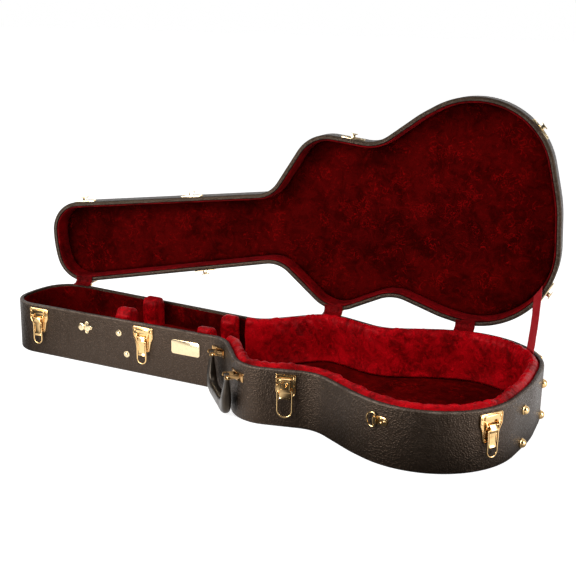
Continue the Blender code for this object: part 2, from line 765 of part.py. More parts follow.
def make_latches(lid):
    plain = (latch_plate("plate", False), lever_blank("lever"),
             bail_mesh("bail", BAIL_AXIS, 0.0097, 0.0448))
    locked = (latch_plate("plate", True), lock_lever_blank("lever"),
              bail_mesh("bail", LOCK_BAIL_AXIS, 0.0128, 0.0465))
    catch = catch_mesh("catch")
    for piece in (*plain, *locked, catch):
        piece.data.materials.clear()
        piece.data.materials.append(MATERIALS["gold"])
        smooth(piece)
    for index, (side, value, top) in enumerate(LATCHES):
        number = index + 1
        frame = wall_frame(side, value, top)
        lock = index == LOCKED_LATCH
        plate, lever, bail = locked if lock else plain
        pivot = LOCK_LEVER_AXIS if lock else LEVER_AXIS
        loop_pivot = LOCK_BAIL_AXIS if lock else BAIL_AXIS
        copy_of(plate, f"latch_plate_{number}", frame)
        lever_rest = frame @ Matrix.Translation((0, *pivot))
        lever_axis = axis_empty(f"latch_lever_axis_{number}", lever_rest)
        copy_of(lever, f"latch_lever_{number}", frame, lever_axis, lever_rest)
        bail_rest = frame @ Matrix.Translation((0, *loop_pivot))
        bail_axis = axis_empty(f"latch_bail_axis_{number}", bail_rest, lever_axis, lever_rest)
        copy_of(bail, f"latch_bail_{number}", frame, bail_axis, bail_rest)
        copy_of(catch, f"lid_catch_{number}", frame, *lid)
        if lock:
            make_lock_plug(frame, lever_axis, lever_rest)
    for piece in (*plain, *locked, catch):
        bpy.data.objects.remove(piece, do_unlink=True)


def make_lock_plug(frame, lever_axis, lever_rest):
    """Round plug with a key slot, in the lock lever's recess."""
    front, back = -0.0101, -0.0051
    plug = rod("plug", 0.0041, (0, front, LOCK_Z), (0, back, LOCK_Z), 16)
    slot = block("slot", (-0.0006, -0.02, LOCK_Z - 0.0030), (0.0006, -0.0082, LOCK_Z + 0.0015))
    combine(plug, [slot], "DIFFERENCE")
    rest = frame @ Matrix.Translation((0, front, LOCK_Z))
    axis = axis_empty("lock_plug_axis", rest, lever_axis, lever_rest)
    finish(plug, "lock_plug", "gold", frame, axis, rest)


# Handle

def handle_frame():
    """X along the pivot line, -Y out from the case, origin midway."""
    a, b = (Vector((x - HALF_LENGTH, y)) for x, y in HANDLE_ENDS)
    middle = (a + b) / 2
    run = b - a
    angle = math.atan2(run.y, run.x)
    frame = Matrix.Translation((middle.x, middle.y, HANDLE_Z)) @ Matrix.Rotation(angle, 4, "Z")
    return frame, run.length / 2


def make_handle():
    frame, half = handle_frame()
    leg = 0.0075
    drop = HANDLE_DROP
    outline = [(-half - leg, 0.0025), (-half - leg * 0.7, 0.0042), (-half + leg * 0.7, 0.0042),
               (-half + leg, 0.0025), (-half + leg, -0.0105), (-half + leg + 0.003, -0.030),
               (-half + leg + 0.009, -0.0425), (-half + leg + 0.022, -0.0485)]
    outline += [(-x, z) for x, z in reversed(outline[4:])]
    outline += [(-x, z) for x, z in reversed(outline[:4])]
    outline += [(half + leg, -0.0105), (half + leg + 0.001, -0.030), (half + leg + 0.001, -0.055),
                (half + leg - 0.005, -0.067), (half - 0.010, -drop + 0.0005), (0, -drop),
                (-half + 0.010, -drop + 0.0005), (-half - leg + 0.005, -0.067),
                (-half - leg - 0.001, -0.055), (-half - leg - 0.001, -0.030),
                (-half - leg, -0.0105)]
    outer, inner = HANDLE_FACES
    grip = upright_slab("grip", outline, outer, inner)
    side = side_slab("taper", [(-0.0042, 0.01), (-0.0042, -0.008), (outer, -0.040),
                               (outer, -0.1), (inner, -0.1), (inner, -0.040),
                               (0.0042, -0.008), (0.0042, 0.01)], 0.2)
    combine(grip, [side], "INTERSECT")
    bevel(grip, 0.0034, 2, 50)
    combine(grip, [])
    pins = []
    for side in (-1, 1):
        start, end = side * (half - leg - 0.0040), side * (half + leg + 0.0040)
        pins.append(rod("pin", 0.0021, (start, 0, 0), (end, 0, 0), 12))
    combine(grip, pins)
    axis = axis_empty("handle_axis", frame)
    finish(grip, "handle", "black_plastic", frame, axis, frame)
    for name, side in (("handle_bracket_left", -1), ("handle_bracket_right", 1)):
        make_handle_bracket(name, frame, side * half, leg)


def make_handle_bracket(name, frame, centre, leg):
    """Two ears with eyes for the handle's pin, on a plate shaped to the wall."""
    ears = []
    for side in (-1, 1):
        near = centre + side * (leg + 0.0009)
        far = near + side * 0.0020
        a, b = sorted((near, far))
        ear = side_slab("ear", [(-0.0062, 0.0018), (-0.0046, 0.0036), (0.060, 0.0036),
                                (0.060, -0.0036), (-0.0046, -0.0036), (-0.0062, -0.0018)],
                        (b - a) / 2)
        ear.data.transform(Matrix.Translation(((a + b) / 2, 0, 0)))
        ears.append(ear)
    first, second = ears
    back = block("back", (centre - leg - 0.011, 0.004, -0.008),
                 (centre + leg + 0.011, 0.060, 0.008))
    back.data.transform(frame)
    skin = slab("skin", inset_points(-0.0018), 0, 0.2, None, HELPERS)
    combine(back, [skin], "INTERSECT")
    for ear in ears:
        ear.data.transform(frame)
    combine(back, [first, second])
    eye = rod("eye", 0.0025, (centre - 0.03, 0, 0), (centre + 0.03, 0, 0), 12)
    eye.data.transform(frame)
    case = slab("case", inset_points(-GAP), -0.1, 0.3, None, HELPERS)
    combine(back, [eye, case], "DIFFERENCE")
    finish(back, name, "gold")


# Small hardware on the walls

def make_badge():
    """Plain plate, left bare."""
    half_x, half_z = BADGE_SIZE[0] / 2, BADGE_SIZE[1] / 2
    corner = 0.005
    outline = []
    for turn in range(4):
        cx = (half_x - corner) * (1 if turn in (0, 3) else -1)
        cz = (half_z - corner) * (1 if turn in (0, 1) else -1)
        for k in range(4):
            angle = math.radians(90 * turn + 30 * k)
            outline.append((cx + corner * math.cos(angle), cz + corner * math.sin(angle)))
    plate = upright_slab("badge", outline, -0.0016, -GAP)
    finish(plate, "badge_plate", "gold", wall_frame("front", BADGE_X, BADGE_Z))


def make_rivets_and_feet():
    for name, (x, z) in zip(("cradle_rivet_upper", "cradle_rivet_lower"), RIVETS):
        rivet = dome("rivet", RIVET_R, 0.0028, GAP, 14)
        finish(rivet, name, "gold", wall_frame("front", x, z))
    for number, (y, z) in enumerate(FEET, 1):
        foot = dome("foot", FOOT_R, 0.0085, GAP, 14)
        finish(foot, f"butt_foot_{number}", "gold", wall_frame("butt", y, z))


def make_strap_rosette():
    """Three-lobed plate with a button at its head side."""
    plate = rod("rosette", 0.0080, (0, -0.0020, 0), (0, -GAP, 0), 18)
    lobes = []
    for degrees in (90, 0, -90):
        angle = math.radians(degrees)
        x, z = 0.0085 * math.cos(angle), 0.0085 * math.sin(angle)
        lobes.append(rod("lobe", 0.0043, (x, -0.0018, z), (x, -GAP, z), 12))
    lobes.append(rod("neck", 0.0035, (-0.0120, -0.0022, 0), (-0.0120, -GAP, 0), 12))
    lobes.append(rod("button", 0.0072, (-0.0120, -0.0042, 0), (-0.0120, -0.0016, 0), 18,
                     end_radius=0.0075))
    combine(plate, lobes)
    finish(plate, "strap_rosette", "gold", wall_frame("front", ROSETTE_X, STRAP_Z))


def make_strap_loop():
    """Riveted plate with a sleeve that holds a ring against the wall."""
    frame = wall_frame("front", LOOP_X, STRAP_Z)
    ring_y = -0.0046
    plate = upright_slab("plate", [(-0.0040, -0.0072), (0.0130, -0.0072), (0.0170, -0.0035),
                                   (0.0170, 0.0035), (0.0130, 0.0072), (-0.0040, 0.0072)],
                         -0.0020, -GAP - 0.0004)
    sleeve = rod("sleeve", 0.0034, (-0.0050, ring_y, -0.0062), (-0.0050, ring_y, 0.0062), 14)
    web = block("web", (-0.0050, ring_y - 0.0010, -0.0062), (-0.0010, -0.0010, 0.0062))
    heads = [dome("head", 0.0024, 0.0012, 0.0018, 10) for _ in range(2)]
    for head, spot in zip(heads, ((0.0050, 0.0030), (0.0110, -0.0020))):
        head.data.transform(Matrix.Translation((spot[0], 0, spot[1])))
    combine(plate, [web, sleeve] + heads)
    bore = rod("bore", 0.0018, (-0.0050, ring_y, -0.02), (-0.0050, ring_y, 0.02), 12)
    combine(plate, [bore], "DIFFERENCE")
    finish(plate, "strap_loop_plate", "gold", frame)
    half, reach = 0.0118, 0.0150
    points = [(-0.0050, 0.0), (-0.0050, half - 0.0012), (-0.0062, half)]
    for k in range(7):
        angle = math.radians(90 + 30 * k)
        points.append((-0.0090 + (reach - 0.0040) * 0.9 * math.cos(angle),
                       half * math.sin(angle)))
    points += [(-0.0062, -half), (-0.0050, -half + 0.0012)]
    curve = bpy.data.curves.new("ring", "CURVE")
    curve.dimensions = "3D"
    curve.bevel_depth = 0.0013
    curve.bevel_resolution = 2
    spline = curve.splines.new("POLY")
    spline.use_cyclic_u = True
    spline.points.add(len(points) - 1)
    for point, (px, pz) in zip(spline.points, points):
        point.co = (px, ring_y, pz, 1)
    ring = curve_to_mesh("ring", curve)
    rest = frame @ Matrix.Translation((-0.0050, ring_y, 0))
    axis = axis_empty("strap_ring_axis", rest)
    finish(ring, "strap_loop_ring", "gold", frame, axis, rest)


def main():
    clear_scene()
    make_collections()
    make_materials()
    make_base_shell()
    make_body_padding()
    make_neck_lining()
    make_floor_pad()
    make_neck_supports()
    make_compartment_lid()
    lid = make_lid_axis()
    make_lid_shell(lid)
    make_hinges(lid)
    make_hinge_covers()
    make_stay_ribbon()
    make_latches(lid)
    make_handle()
    make_badge()
    make_rivets_and_feet()
    make_strap_rosette()
    make_strap_loop()


main()
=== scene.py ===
"""Looks of a resonator guitar case: vinyl shell, velvet lining and gold hardware."""
import json
import math

import bmesh
import bpy
import numpy as np
from mathutils import Matrix, Vector, geometry, noise


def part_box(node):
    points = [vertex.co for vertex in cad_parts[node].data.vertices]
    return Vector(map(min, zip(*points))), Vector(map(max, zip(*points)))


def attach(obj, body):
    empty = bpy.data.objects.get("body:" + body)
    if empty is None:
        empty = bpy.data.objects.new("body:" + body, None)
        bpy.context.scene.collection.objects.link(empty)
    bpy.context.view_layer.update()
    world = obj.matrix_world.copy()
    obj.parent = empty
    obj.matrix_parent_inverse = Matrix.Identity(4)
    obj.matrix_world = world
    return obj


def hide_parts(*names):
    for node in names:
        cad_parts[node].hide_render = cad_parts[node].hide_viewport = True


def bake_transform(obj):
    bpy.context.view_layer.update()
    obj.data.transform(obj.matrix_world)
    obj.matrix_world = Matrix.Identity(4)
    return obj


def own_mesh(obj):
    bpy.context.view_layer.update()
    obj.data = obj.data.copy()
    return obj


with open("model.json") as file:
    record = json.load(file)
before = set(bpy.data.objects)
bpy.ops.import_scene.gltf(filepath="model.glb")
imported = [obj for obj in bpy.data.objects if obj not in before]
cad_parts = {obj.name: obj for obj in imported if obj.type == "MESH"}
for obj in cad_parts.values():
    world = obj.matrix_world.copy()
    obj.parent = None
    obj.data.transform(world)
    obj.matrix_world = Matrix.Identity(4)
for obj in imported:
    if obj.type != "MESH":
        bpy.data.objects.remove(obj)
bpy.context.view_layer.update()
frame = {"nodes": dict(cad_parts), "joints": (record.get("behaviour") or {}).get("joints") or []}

NODES = frame["nodes"]
JOINTS = {joint["name"]: joint for joint in frame["joints"]}

# The case's own sizes, in metres

HALF_LENGTH = 0.540
SPINE_Y = 0.220                     # Y of the outline's straight back, where the hinges are
RIM = 0.1035                        # height of the base's rim
LID_DEPTH = 0.050
WALL = 0.008
PANEL = 0.006
GAP = 0.0003                        # air between a piece and what it lies on
OPEN_ANGLE = math.radians(91.9)
SLANT = math.radians(-8.95)         # the case's centre line against the hinge line
CENTRE_Y = 0.1428                   # the centre line's Y at the head end
HINGE = Vector((0, SPINE_Y + 0.0035, RIM))
HINGES = (1, 2, 3)
SIDES = (-1, 1)
HALF_PLAN = (                       # along the centre line, out from it, radius of the corner
    (0.0000, 0.0000, 0.2350), (0.0117, 0.0893, 0.0650), (0.5179, 0.0708, 0.0550),
    (0.6160, 0.1850, 0.0737), (0.7472, 0.1481, 0.0671), (0.8355, 0.1953, 0.1900),
    (1.0548, 0.2820, 0.1535), (1.0800, 0.0000, 0.2950),
)
FINE_ARC = math.radians(1.0)
COARSE_ARC = math.radians(10.0)     # the step of the solids' faceted walls

LINING = 0.0035
PAD = 0.005
FLOOR = PANEL + PAD + 2 * GAP
PADDING_WIDTH = 0.0225
BODY_LINING_X = 0.500               # from the head end, where the padded roll takes over
LID = (Matrix.Translation(HINGE) @ Matrix.Rotation(-OPEN_ANGLE, 4, "X")
       @ Matrix.Translation(-HINGE))


# The plan outline

def running_length(points):
    """Length along a line of points, up to each of them."""
    steps = np.linalg.norm(np.diff(points, axis=0), axis=1)
    return np.concatenate(([0.0], np.cumsum(steps)))


def plan_outline(arc_step):
    """Points and outward normals of the closed plan, anticlockwise from the head end."""
    rows = [(s, -w, r) for s, w, r in HALF_PLAN] + list(HALF_PLAN[-2:0:-1])
    corners = [Vector((s, w)) for s, w, _ in rows]
    turn = Matrix.Rotation(SLANT, 2)
    points, normals = [], []
    for i, corner in enumerate(corners):
        radius = rows[i][2]
        before = (corner - corners[i - 1]).normalized()
        after = (corners[(i + 1) % len(corners)] - corner).normalized()
        angle = math.atan2(before.x * after.y - before.y * after.x, before.dot(after))
        start = corner - before * radius * math.tan(abs(angle) / 2)
        side = math.copysign(1, angle)
        centre = start + side * radius * Vector((-before.y, before.x))
        steps = max(1, math.ceil(abs(angle) / arc_step))
        for k in range(steps + 1):
            heading = Matrix.Rotation(angle * k / steps, 2) @ before
            normal = Vector((heading.y, -heading.x))
            points.append(turn @ (centre + side * radius * normal))
            normals.append(turn @ normal)
    shift = np.array((-HALF_LENGTH, CENTRE_Y))
    return np.array(points) + shift, np.array(normals)


class Plan:
    """The outline as a curve that is read by its running length."""

    def __init__(self, arc_step):
        points, normals = plan_outline(arc_step)
        self.points = np.vstack((points, points[:1]))
        self.normals = np.vstack((normals, normals[:1]))
        self.length = running_length(self.points)
        self.total = self.length[-1]

    def at(self, s):
        """Points and outward normals at the running lengths s."""
        s = np.mod(s, self.total)
        p, n = (np.stack([np.interp(s, self.length, values[:, k]) for k in (0, 1)], 1)
                for values in (self.points, self.normals))
        return p, n / np.linalg.norm(n, axis=1, keepdims=True)

    def crossing(self, side, value):
        """Running length where the outline passes X from the head end, or Y at the butt."""
        axis, goal = (1, value) if side == "butt" else (0, value - HALF_LENGTH)
        offset = self.points[:, axis] - goal
        for i in np.flatnonzero(offset[:-1] * offset[1:] <= 0):
            facing = self.normals[i] + self.normals[i + 1]
            toward = {"front": -facing[1], "back": facing[1], "butt": facing[0]}[side]
            if toward < 0 or offset[i] == offset[i + 1]:
                continue
            share = offset[i] / (offset[i] - offset[i + 1])
            return self.length[i] + share * (self.length[i + 1] - self.length[i])
        raise ValueError(f"no crossing at {side} {value}")

    def frame(self, side, value, z):
        """X along the wall, -Y out of it, Z up."""
        p, n = self.at(np.array([self.crossing(side, value)]))
        turn = Matrix.Rotation(math.atan2(n[0, 0], -n[0, 1]), 4, "Z")
        return Matrix.Translation((p[0, 0], p[0, 1], z)) @ turn


SMOOTH_PLAN = Plan(FINE_ARC)
FACET_PLAN = Plan(COARSE_ARC)


def waves(points, scale, depth, seed):
    """Perlin noise at each point, from about -1 to 1, with depth octaves."""
    shift = Vector((seed, 1.7 * seed, -2.3 * seed))
    out = np.zeros(len(points))
    for octave in range(depth):
        k = scale * 2 ** octave
        out += [noise.noise(Vector(p) * k + shift) / 2 ** octave for p in points]
    return out


# Materials

def socket_values(node, values):
    for name, value in values.items():
        node.inputs[name].default_value = value


class Tree:
    """Short calls for building a node tree."""

    def __init__(self, tree):
        self.tree = tree

    def add(self, kind, values=None, **settings):
        node = self.tree.nodes.new(kind)
        for name, value in settings.items():
            setattr(node, name, value)
        socket_values(node, values or {})
        return node

    def link(self, out, into):
        self.tree.links.new(out, into)

    def put(self, value, socket):
        """Sets a socket to a plain value, or links another node's output to it."""
        if isinstance(value, (int, float, tuple)):
            socket.default_value = value
        elif value is not None:
            self.link(value, socket)

    def math(self, operation, a, b=None, c=None, clamp=False):
        node = self.add("ShaderNodeMath", operation=operation, use_clamp=clamp)
        for value, socket in zip((a, b, c), node.inputs):
            self.put(value, socket)
        return node.outputs[0]

    def vector(self, operation, a, b=None, c=None):
        """A vector operation. A dot product and a length come as a number."""
        node = self.add("ShaderNodeVectorMath", operation=operation)
        for value, socket in zip((a, b, c), node.inputs):
            self.put(value, socket)
        return node.outputs["Value" if operation in ("DOT_PRODUCT", "LENGTH") else "Vector"]

    def toned(self, color, tone):
        """A colour made darker or lighter."""
        node = self.add("ShaderNodeVectorMath", operation="SCALE")
        self.link(color, node.inputs[0])
        self.link(tone, node.inputs["Scale"])
        return node.outputs["Vector"]

    def noise(self, vector, scale, detail=2.0, rough=0.5, distortion=0.0):
        node = self.add("ShaderNodeTexNoise", {"Detail": detail, "Roughness": rough,
                                               "Distortion": distortion})
        self.put(scale, node.inputs["Scale"])
        self.link(vector, node.inputs["Vector"])
        return node.outputs["Fac"]

    def mix(self, share, a, b):
        """From colour a at 0 to colour b at 1."""
        node = self.add("ShaderNodeMix", data_type="RGBA")
        for value, index in ((share, 0), (a, 6), (b, 7)):
            self.put(value, node.inputs[index])
        return node.outputs[2]

    def ramp(self, value, low, high, a=0.0, b=1.0):
        """A soft step from a to b as the value goes from low to high."""
        node = self.add("ShaderNodeMapRange",
                        {"From Min": low, "From Max": high, "To Min": a, "To Max": b},
                        clamp=True, interpolation_type="SMOOTHSTEP")
        self.link(value, node.inputs["Value"])
        return node.outputs["Result"]

    def bump(self, shader, height, strength, distance):
        relief = self.add("ShaderNodeBump", {"Strength": strength, "Distance": distance})
        self.link(height, relief.inputs["Height"])
        self.link(relief.outputs["Normal"], shader.inputs["Normal"])


SOCKET_KINDS = {"value": "NodeSocketFloat", "color": "NodeSocketColor",
                "vector": "NodeSocketVector"}
FINISH = [("Color", "color"), ("Height", "value"), ("Roughness", "value")]


def new_group(name, inputs, outputs=FINISH):
    """A shader node group with named sockets; returns it, its tree and its two end nodes."""
    group = bpy.data.node_groups.new(name, "ShaderNodeTree")
    for socket, kind, default in inputs:
        item = group.interface.new_socket(socket, in_out="INPUT", socket_type=SOCKET_KINDS[kind])
        if default is not None:
            item.default_value = default
    for socket, kind in outputs:
        group.interface.new_socket(socket, in_out="OUTPUT", socket_type=SOCKET_KINDS[kind])
    tree = Tree(group)
    return group, tree, tree.add("NodeGroupInput"), tree.add("NodeGroupOutput")


def make_grain_group():
    """Pebbled leathercloth: rounded cells with creases between them, and slow unevenness.

    Along the rims that the mesh marks, the tops of the grain show a lighter colour in patches: a
    painted highlight on the rounded edge.
    """
    group, t, start, end = new_group(
        "grained_leathercloth",
        [("Vector", "vector", None), ("Cell", "value", 450.0),
         ("Shade", "color", (0.02, 0.02, 0.02, 1)), ("Light", "color", (0.06, 0.05, 0.05, 1)),
         ("Roughness", "value", 0.5), ("Rim highlight", "color", (0.16, 0.13, 0.11, 1))])
    where = start.outputs["Vector"]
    wander = t.add("ShaderNodeTexNoise", {"Scale": 260.0, "Detail": 2.0})
    t.link(where, wander.inputs["Vector"])
    cells = t.add("ShaderNodeTexVoronoi", {"Randomness": 0.9}, feature="SMOOTH_F1")
    cells.inputs["Smoothness"].default_value = 0.25
    t.link(t.vector("MULTIPLY_ADD", wander.outputs["Color"], (0.0016, 0.0016, 0.0022), where),
           cells.inputs["Vector"])
    t.link(start.outputs["Cell"], cells.inputs["Scale"])
    pebble = t.ramp(cells.outputs["Distance"], 0.15, 0.70, 1.0, 0.0)
    clump = t.ramp(t.noise(where, 170.0, 3.0, 0.6), 0.36, 0.64)
    fine = t.noise(where, 1200.0, 2.0, 0.6)
    height = t.math("MULTIPLY_ADD", clump, 0.35, t.math("MULTIPLY", pebble, 0.90))
    height = t.math("MULTIPLY_ADD", fine, 0.16, height)
    t.link(height, end.inputs["Height"])
    slow = t.noise(where, 14.0, 3.0, 0.55)
    # Colour from Shade in the creases to Light on the pebble tops: painted shade in the creases
    # between the pebbles
    share = t.ramp(height, 0.40, 1.30)
    color = t.toned(t.mix(share, start.outputs["Shade"], start.outputs["Light"]),
                    t.ramp(slow, 0.3, 0.7, 0.82, 1.12))
    # Painted highlight: a lighter colour on the grain's tops, in patches, along the rims that the mesh
    # marks
    edge = t.add("ShaderNodeAttribute", attribute_name="rim_highlight").outputs["Fac"]
    patchy = t.ramp(t.noise(where, 55.0, 3.0, 0.6), 0.30, 0.62, 0.35, 1.0)
    tops = t.ramp(height, 0.15, 0.75, 0.4, 1.0)
    painted_rim_highlight = t.math("MULTIPLY", t.math("MULTIPLY", edge, patchy), tops)
    t.link(t.mix(painted_rim_highlight, color, start.outputs["Rim highlight"]), end.inputs["Color"])
    rough = t.math("MULTIPLY_ADD", share, -0.24, start.outputs["Roughness"])
    t.link(t.math("MULTIPLY_ADD", slow, 0.08, rough), end.inputs["Roughness"])
    return group


def make_pile_group():
    """Velvet pile: patches that lie one way or another, crushed flecks, strokes and a nap."""
    group, t, start, end = new_group(
        "velvet_pile",
        [("Vector", "vector", None), ("Deep", "color", (0.1, 0, 0, 1)),
         ("Bright", "color", (0.4, 0, 0, 1)), ("Patch", "value", 45.0),
         ("Flecks", "value", 0.5), ("Strokes", "value", 0.5), ("Clouds", "value", 0.62),
         ("Nap roughness", "value", 0.95)])
    where, scale = start.outputs["Vector"], start.outputs["Patch"]

    def patches(share, detail, rough, distortion=0.0):
        """Noise at a share of the patches' own scale."""
        return t.noise(where, t.math("MULTIPLY", scale, share), detail, rough, distortion)

    broad = patches(0.28, 2.0, 0.5, 0.6)
    patch = t.noise(where, scale, 4.0, 0.62, 1.6)
    lie = t.ramp(t.math("MULTIPLY_ADD", broad, 0.55, t.math("MULTIPLY", patch, 0.6)), 0.40, 0.74)
    crushed = t.ramp(patches(2.6, 3.0, 0.7, 1.0), 0.56, 0.74)
    flecks = t.math("MULTIPLY", crushed, start.outputs["Flecks"])
    crease = t.math("ABSOLUTE", t.math("SUBTRACT", patches(1.1, 2.0, 0.55, 2.2), 0.5))
    line = t.ramp(crease, 0.006, 0.026, 1.0, 0.0)
    here = t.ramp(patches(0.75, 2.0, 0.5), 0.50, 0.63)
    strokes = t.math("MULTIPLY", t.math("MULTIPLY", line, here), start.outputs["Strokes"])
    share = t.math("ADD", t.math("MULTIPLY", lie, start.outputs["Clouds"]),
                   t.math("ADD", flecks, strokes), clamp=True)
    nap = t.noise(where, 2600.0, 2.0, 0.7)
    color = t.toned(t.mix(share, start.outputs["Deep"], start.outputs["Bright"]),
                    t.ramp(nap, 0.3, 0.7, 0.72, 1.22))
    t.link(color, end.inputs["Color"])
    height = t.math("MULTIPLY_ADD", nap, 0.5, t.math("MULTIPLY", lie, 0.9))
    t.link(height, end.inputs["Height"])
    t.link(t.math("MULTIPLY_ADD", lie, -0.2, start.outputs["Nap roughness"]),
           end.inputs["Roughness"])
    return group


def make_plating_group():
    """Thin plating: handling haze, faint scratches and rubbed spots."""
    group, t, start, end = new_group(
        "handled_plating",
        [("Vector", "vector", None), ("Metal", "color", (0.8, 0.6, 0.3, 1)),
         ("Tarnish", "color", (0.5, 0.3, 0.1, 1)), ("Roughness", "value", 0.2)])
    where = start.outputs["Vector"]
    haze = t.noise(where, 160.0, 4.0, 0.6, 0.4)
    long_ways = t.add("ShaderNodeMapping", {"Scale": (500.0, 500.0, 2600.0)})
    t.link(where, long_ways.inputs["Vector"])
    scratches = t.noise(long_ways.outputs[0], 1.0, 2.0, 0.6)
    spots = t.math("MULTIPLY", t.ramp(haze, 0.50, 0.78), 0.55)
    t.link(t.mix(spots, start.outputs["Metal"], start.outputs["Tarnish"]), end.inputs["Color"])
    rough = t.math("MULTIPLY_ADD", haze, 0.12, start.outputs["Roughness"])
    rough = t.math("MULTIPLY_ADD", t.ramp(scratches, 0.55, 0.75), 0.07, rough)
    t.link(rough, end.inputs["Roughness"])
    t.link(t.math("MULTIPLY_ADD", scratches, 0.25, haze), end.inputs["Height"])
    return group


def new_material(name, plain):
    """A Principled material; returns it, its tree, its shader and the place on the piece."""
    material = bpy.data.materials.new(name)
    material.use_nodes = True
    tree = Tree(material.node_tree)
    shader = material.node_tree.nodes["Principled BSDF"]
    socket_values(shader, plain)
    return material, tree, shader, tree.add("ShaderNodeTexCoord").outputs["Object"]


def surface(name, group, strength, distance, values, plain):
    """A material whose colour, roughness and bump come from one group."""
    material, t, shader, where = new_material(name, plain)
    effect = t.add("ShaderNodeGroup", node_tree=group)
    socket_values(effect, values)
    t.link(where, effect.inputs["Vector"])
    t.link(effect.outputs["Color"], shader.inputs["Base Color"])
    t.link(effect.outputs["Roughness"], shader.inputs["Roughness"])
    t.bump(shader, effect.outputs["Height"], strength, distance)
    return material


# Each finish: its group, strength and distance of its bump, the group's values, the shader's
FINISHES = {
    # vinyl: the darker of its two colours is painted shade in the grain's creases
    "vinyl": (
        "grain", 1.0, 0.0005,
        {"Cell": 330.0, "Shade": (0.0008, 0.0005, 0.0004, 1),
         "Light": (0.0110, 0.0074, 0.0050, 1), "Roughness": 0.45},
        {"Specular IOR Level": 0.50, "Specular Tint": (1.0, 0.66, 0.45, 1)}),
    # The three velvets below are one crimson fabric; the two after this one are darker copies of it
    # with painted shade
    "crimson_velvet": (
        "pile", 0.35, 0.0006,
        {"Deep": (0.130, 0.0003, 0.0010, 1), "Bright": (0.78, 0.0030, 0.0100, 1),
         "Patch": 60.0, "Flecks": 0.50, "Strokes": 0.5, "Nap roughness": 0.50},
        {"Sheen Weight": 0.25, "Sheen Roughness": 0.30, "Sheen Tint": (1.0, 0.01, 0.03, 1),
         "Specular IOR Level": 0.14, "Specular Tint": (1.0, 0.16, 0.16, 1)}),
    # A darker copy of the crimson velvet: painted shade, for the pads, the floor, the flap and the
    # neck's wall
    "maroon_velvet": (
        "pile", 0.35, 0.0006,
        {"Deep": (0.0330, 0.0001, 0.0001, 1), "Bright": (0.2200, 0.0012, 0.0016, 1),
         "Patch": 42.0, "Flecks": 0.50, "Strokes": 1.0, "Clouds": 0.36, "Nap roughness": 0.95},
        {"Sheen Weight": 0.10, "Sheen Roughness": 0.35, "Sheen Tint": (1.0, 0.02, 0.02, 1),
         "Specular IOR Level": 0.04, "Specular Tint": (1.0, 0.3, 0.25, 1)}),
    # A copy between the crimson and the darkest velvet: half painted shade, for the lid's walls and
    # the hinge covers
    "velvet_half_shaded_copy": (
        "pile", 0.35, 0.0006,
        {"Deep": (0.045, 0.0003, 0.0005, 1), "Bright": (0.30, 0.0020, 0.0040, 1),
         "Patch": 70.0, "Flecks": 0.60, "Strokes": 0.7, "Nap roughness": 0.72},
        {"Sheen Weight": 0.15, "Sheen Roughness": 0.30, "Sheen Tint": (1.0, 0.04, 0.06, 1),
         "Specular IOR Level": 0.20, "Specular Tint": (1.0, 0.16, 0.16, 1)}),
    "gold": (
        "plating", 0.10, 0.0003,
        {"Metal": (0.80, 0.530, 0.240, 1), "Tarnish": (0.50, 0.29, 0.10, 1), "Roughness": 0.07},
        {"Metallic": 1.0}),
    # A lighter copy of the gold plating: painted light, for the catches, the badge, the rosette and
    # the cradle rivets
    "gold_lit_copy": (
        "plating", 0.08, 0.0003,
        {"Metal": (0.82, 0.65, 0.40, 1), "Tarnish": (0.66, 0.48, 0.27, 1), "Roughness": 0.12},
        {"Metallic": 1.0}),
    # A darker copy of the gold plating: painted shade on the handle brackets
    "gold_shaded_copy": (
        "plating", 0.12, 0.0003,
        {"Metal": (0.50, 0.295, 0.125, 1), "Tarnish": (0.26, 0.135, 0.05, 1), "Roughness": 0.14},
        {"Metallic": 1.0}),
    # Near-black metal for the keyhole and the gap round the lock's plug: painted shade
    "keyhole_painted_shade": (
        "plating", 0.10, 0.0003,
        {"Metal": (0.035, 0.025, 0.015, 1), "Tarnish": (0.015, 0.010, 0.006, 1),
         "Roughness": 0.45},
        {"Metallic": 0.6}),
}


def make_plastic():
    """Moulded plastic: faint orange peel, grey rub marks in patches all over it."""
    material, t, shader, where = new_material(
        "black_plastic", {"Specular IOR Level": 0.45, "Specular Tint": (1.0, 0.80, 0.62, 1)})
    peel = t.noise(where, 900.0, 2.0, 0.5)
    rub = t.noise(where, 70.0, 4.0, 0.6, 0.5)
    t.link(t.mix(t.ramp(rub, 0.42, 0.72), (0.0060, 0.0044, 0.0034, 1), (0.026, 0.0195, 0.0145, 1)),
           shader.inputs["Base Color"])
    t.link(t.ramp(rub, 0.3, 0.8, 0.28, 0.46), shader.inputs["Roughness"])
    t.bump(shader, t.math("MULTIPLY_ADD", rub, 0.6, peel), 0.15, 0.0004)
    return material


def make_ribbon_weave():
    """Woven ribbon: fine ribs across its width, and clouds where it was handled."""
    material, t, shader, where = new_material(
        "ribbon", {"Sheen Weight": 0.2, "Sheen Roughness": 0.3,
                   "Sheen Tint": (1.0, 0.2, 0.22, 1), "Specular IOR Level": 0.30})
    ribs = t.add("ShaderNodeTexWave", {"Scale": 420.0, "Distortion": 0.6, "Detail": 1.0},
                 wave_type="BANDS", bands_direction="Z", wave_profile="SIN")
    t.link(where, ribs.inputs["Vector"])
    cloud = t.noise(where, 90.0, 3.0, 0.6)
    share = t.math("MULTIPLY_ADD", ribs.outputs["Fac"], 0.45, t.math("MULTIPLY", cloud, 0.55))
    t.link(t.mix(share, (0.230, 0.0045, 0.0080, 1), (0.600, 0.0160, 0.0240, 1)),
           shader.inputs["Base Color"])
    t.link(t.ramp(cloud, 0.3, 0.7, 0.42, 0.62), shader.inputs["Roughness"])
    t.bump(shader, ribs.outputs["Fac"], 0.5, 0.0002)
    return material


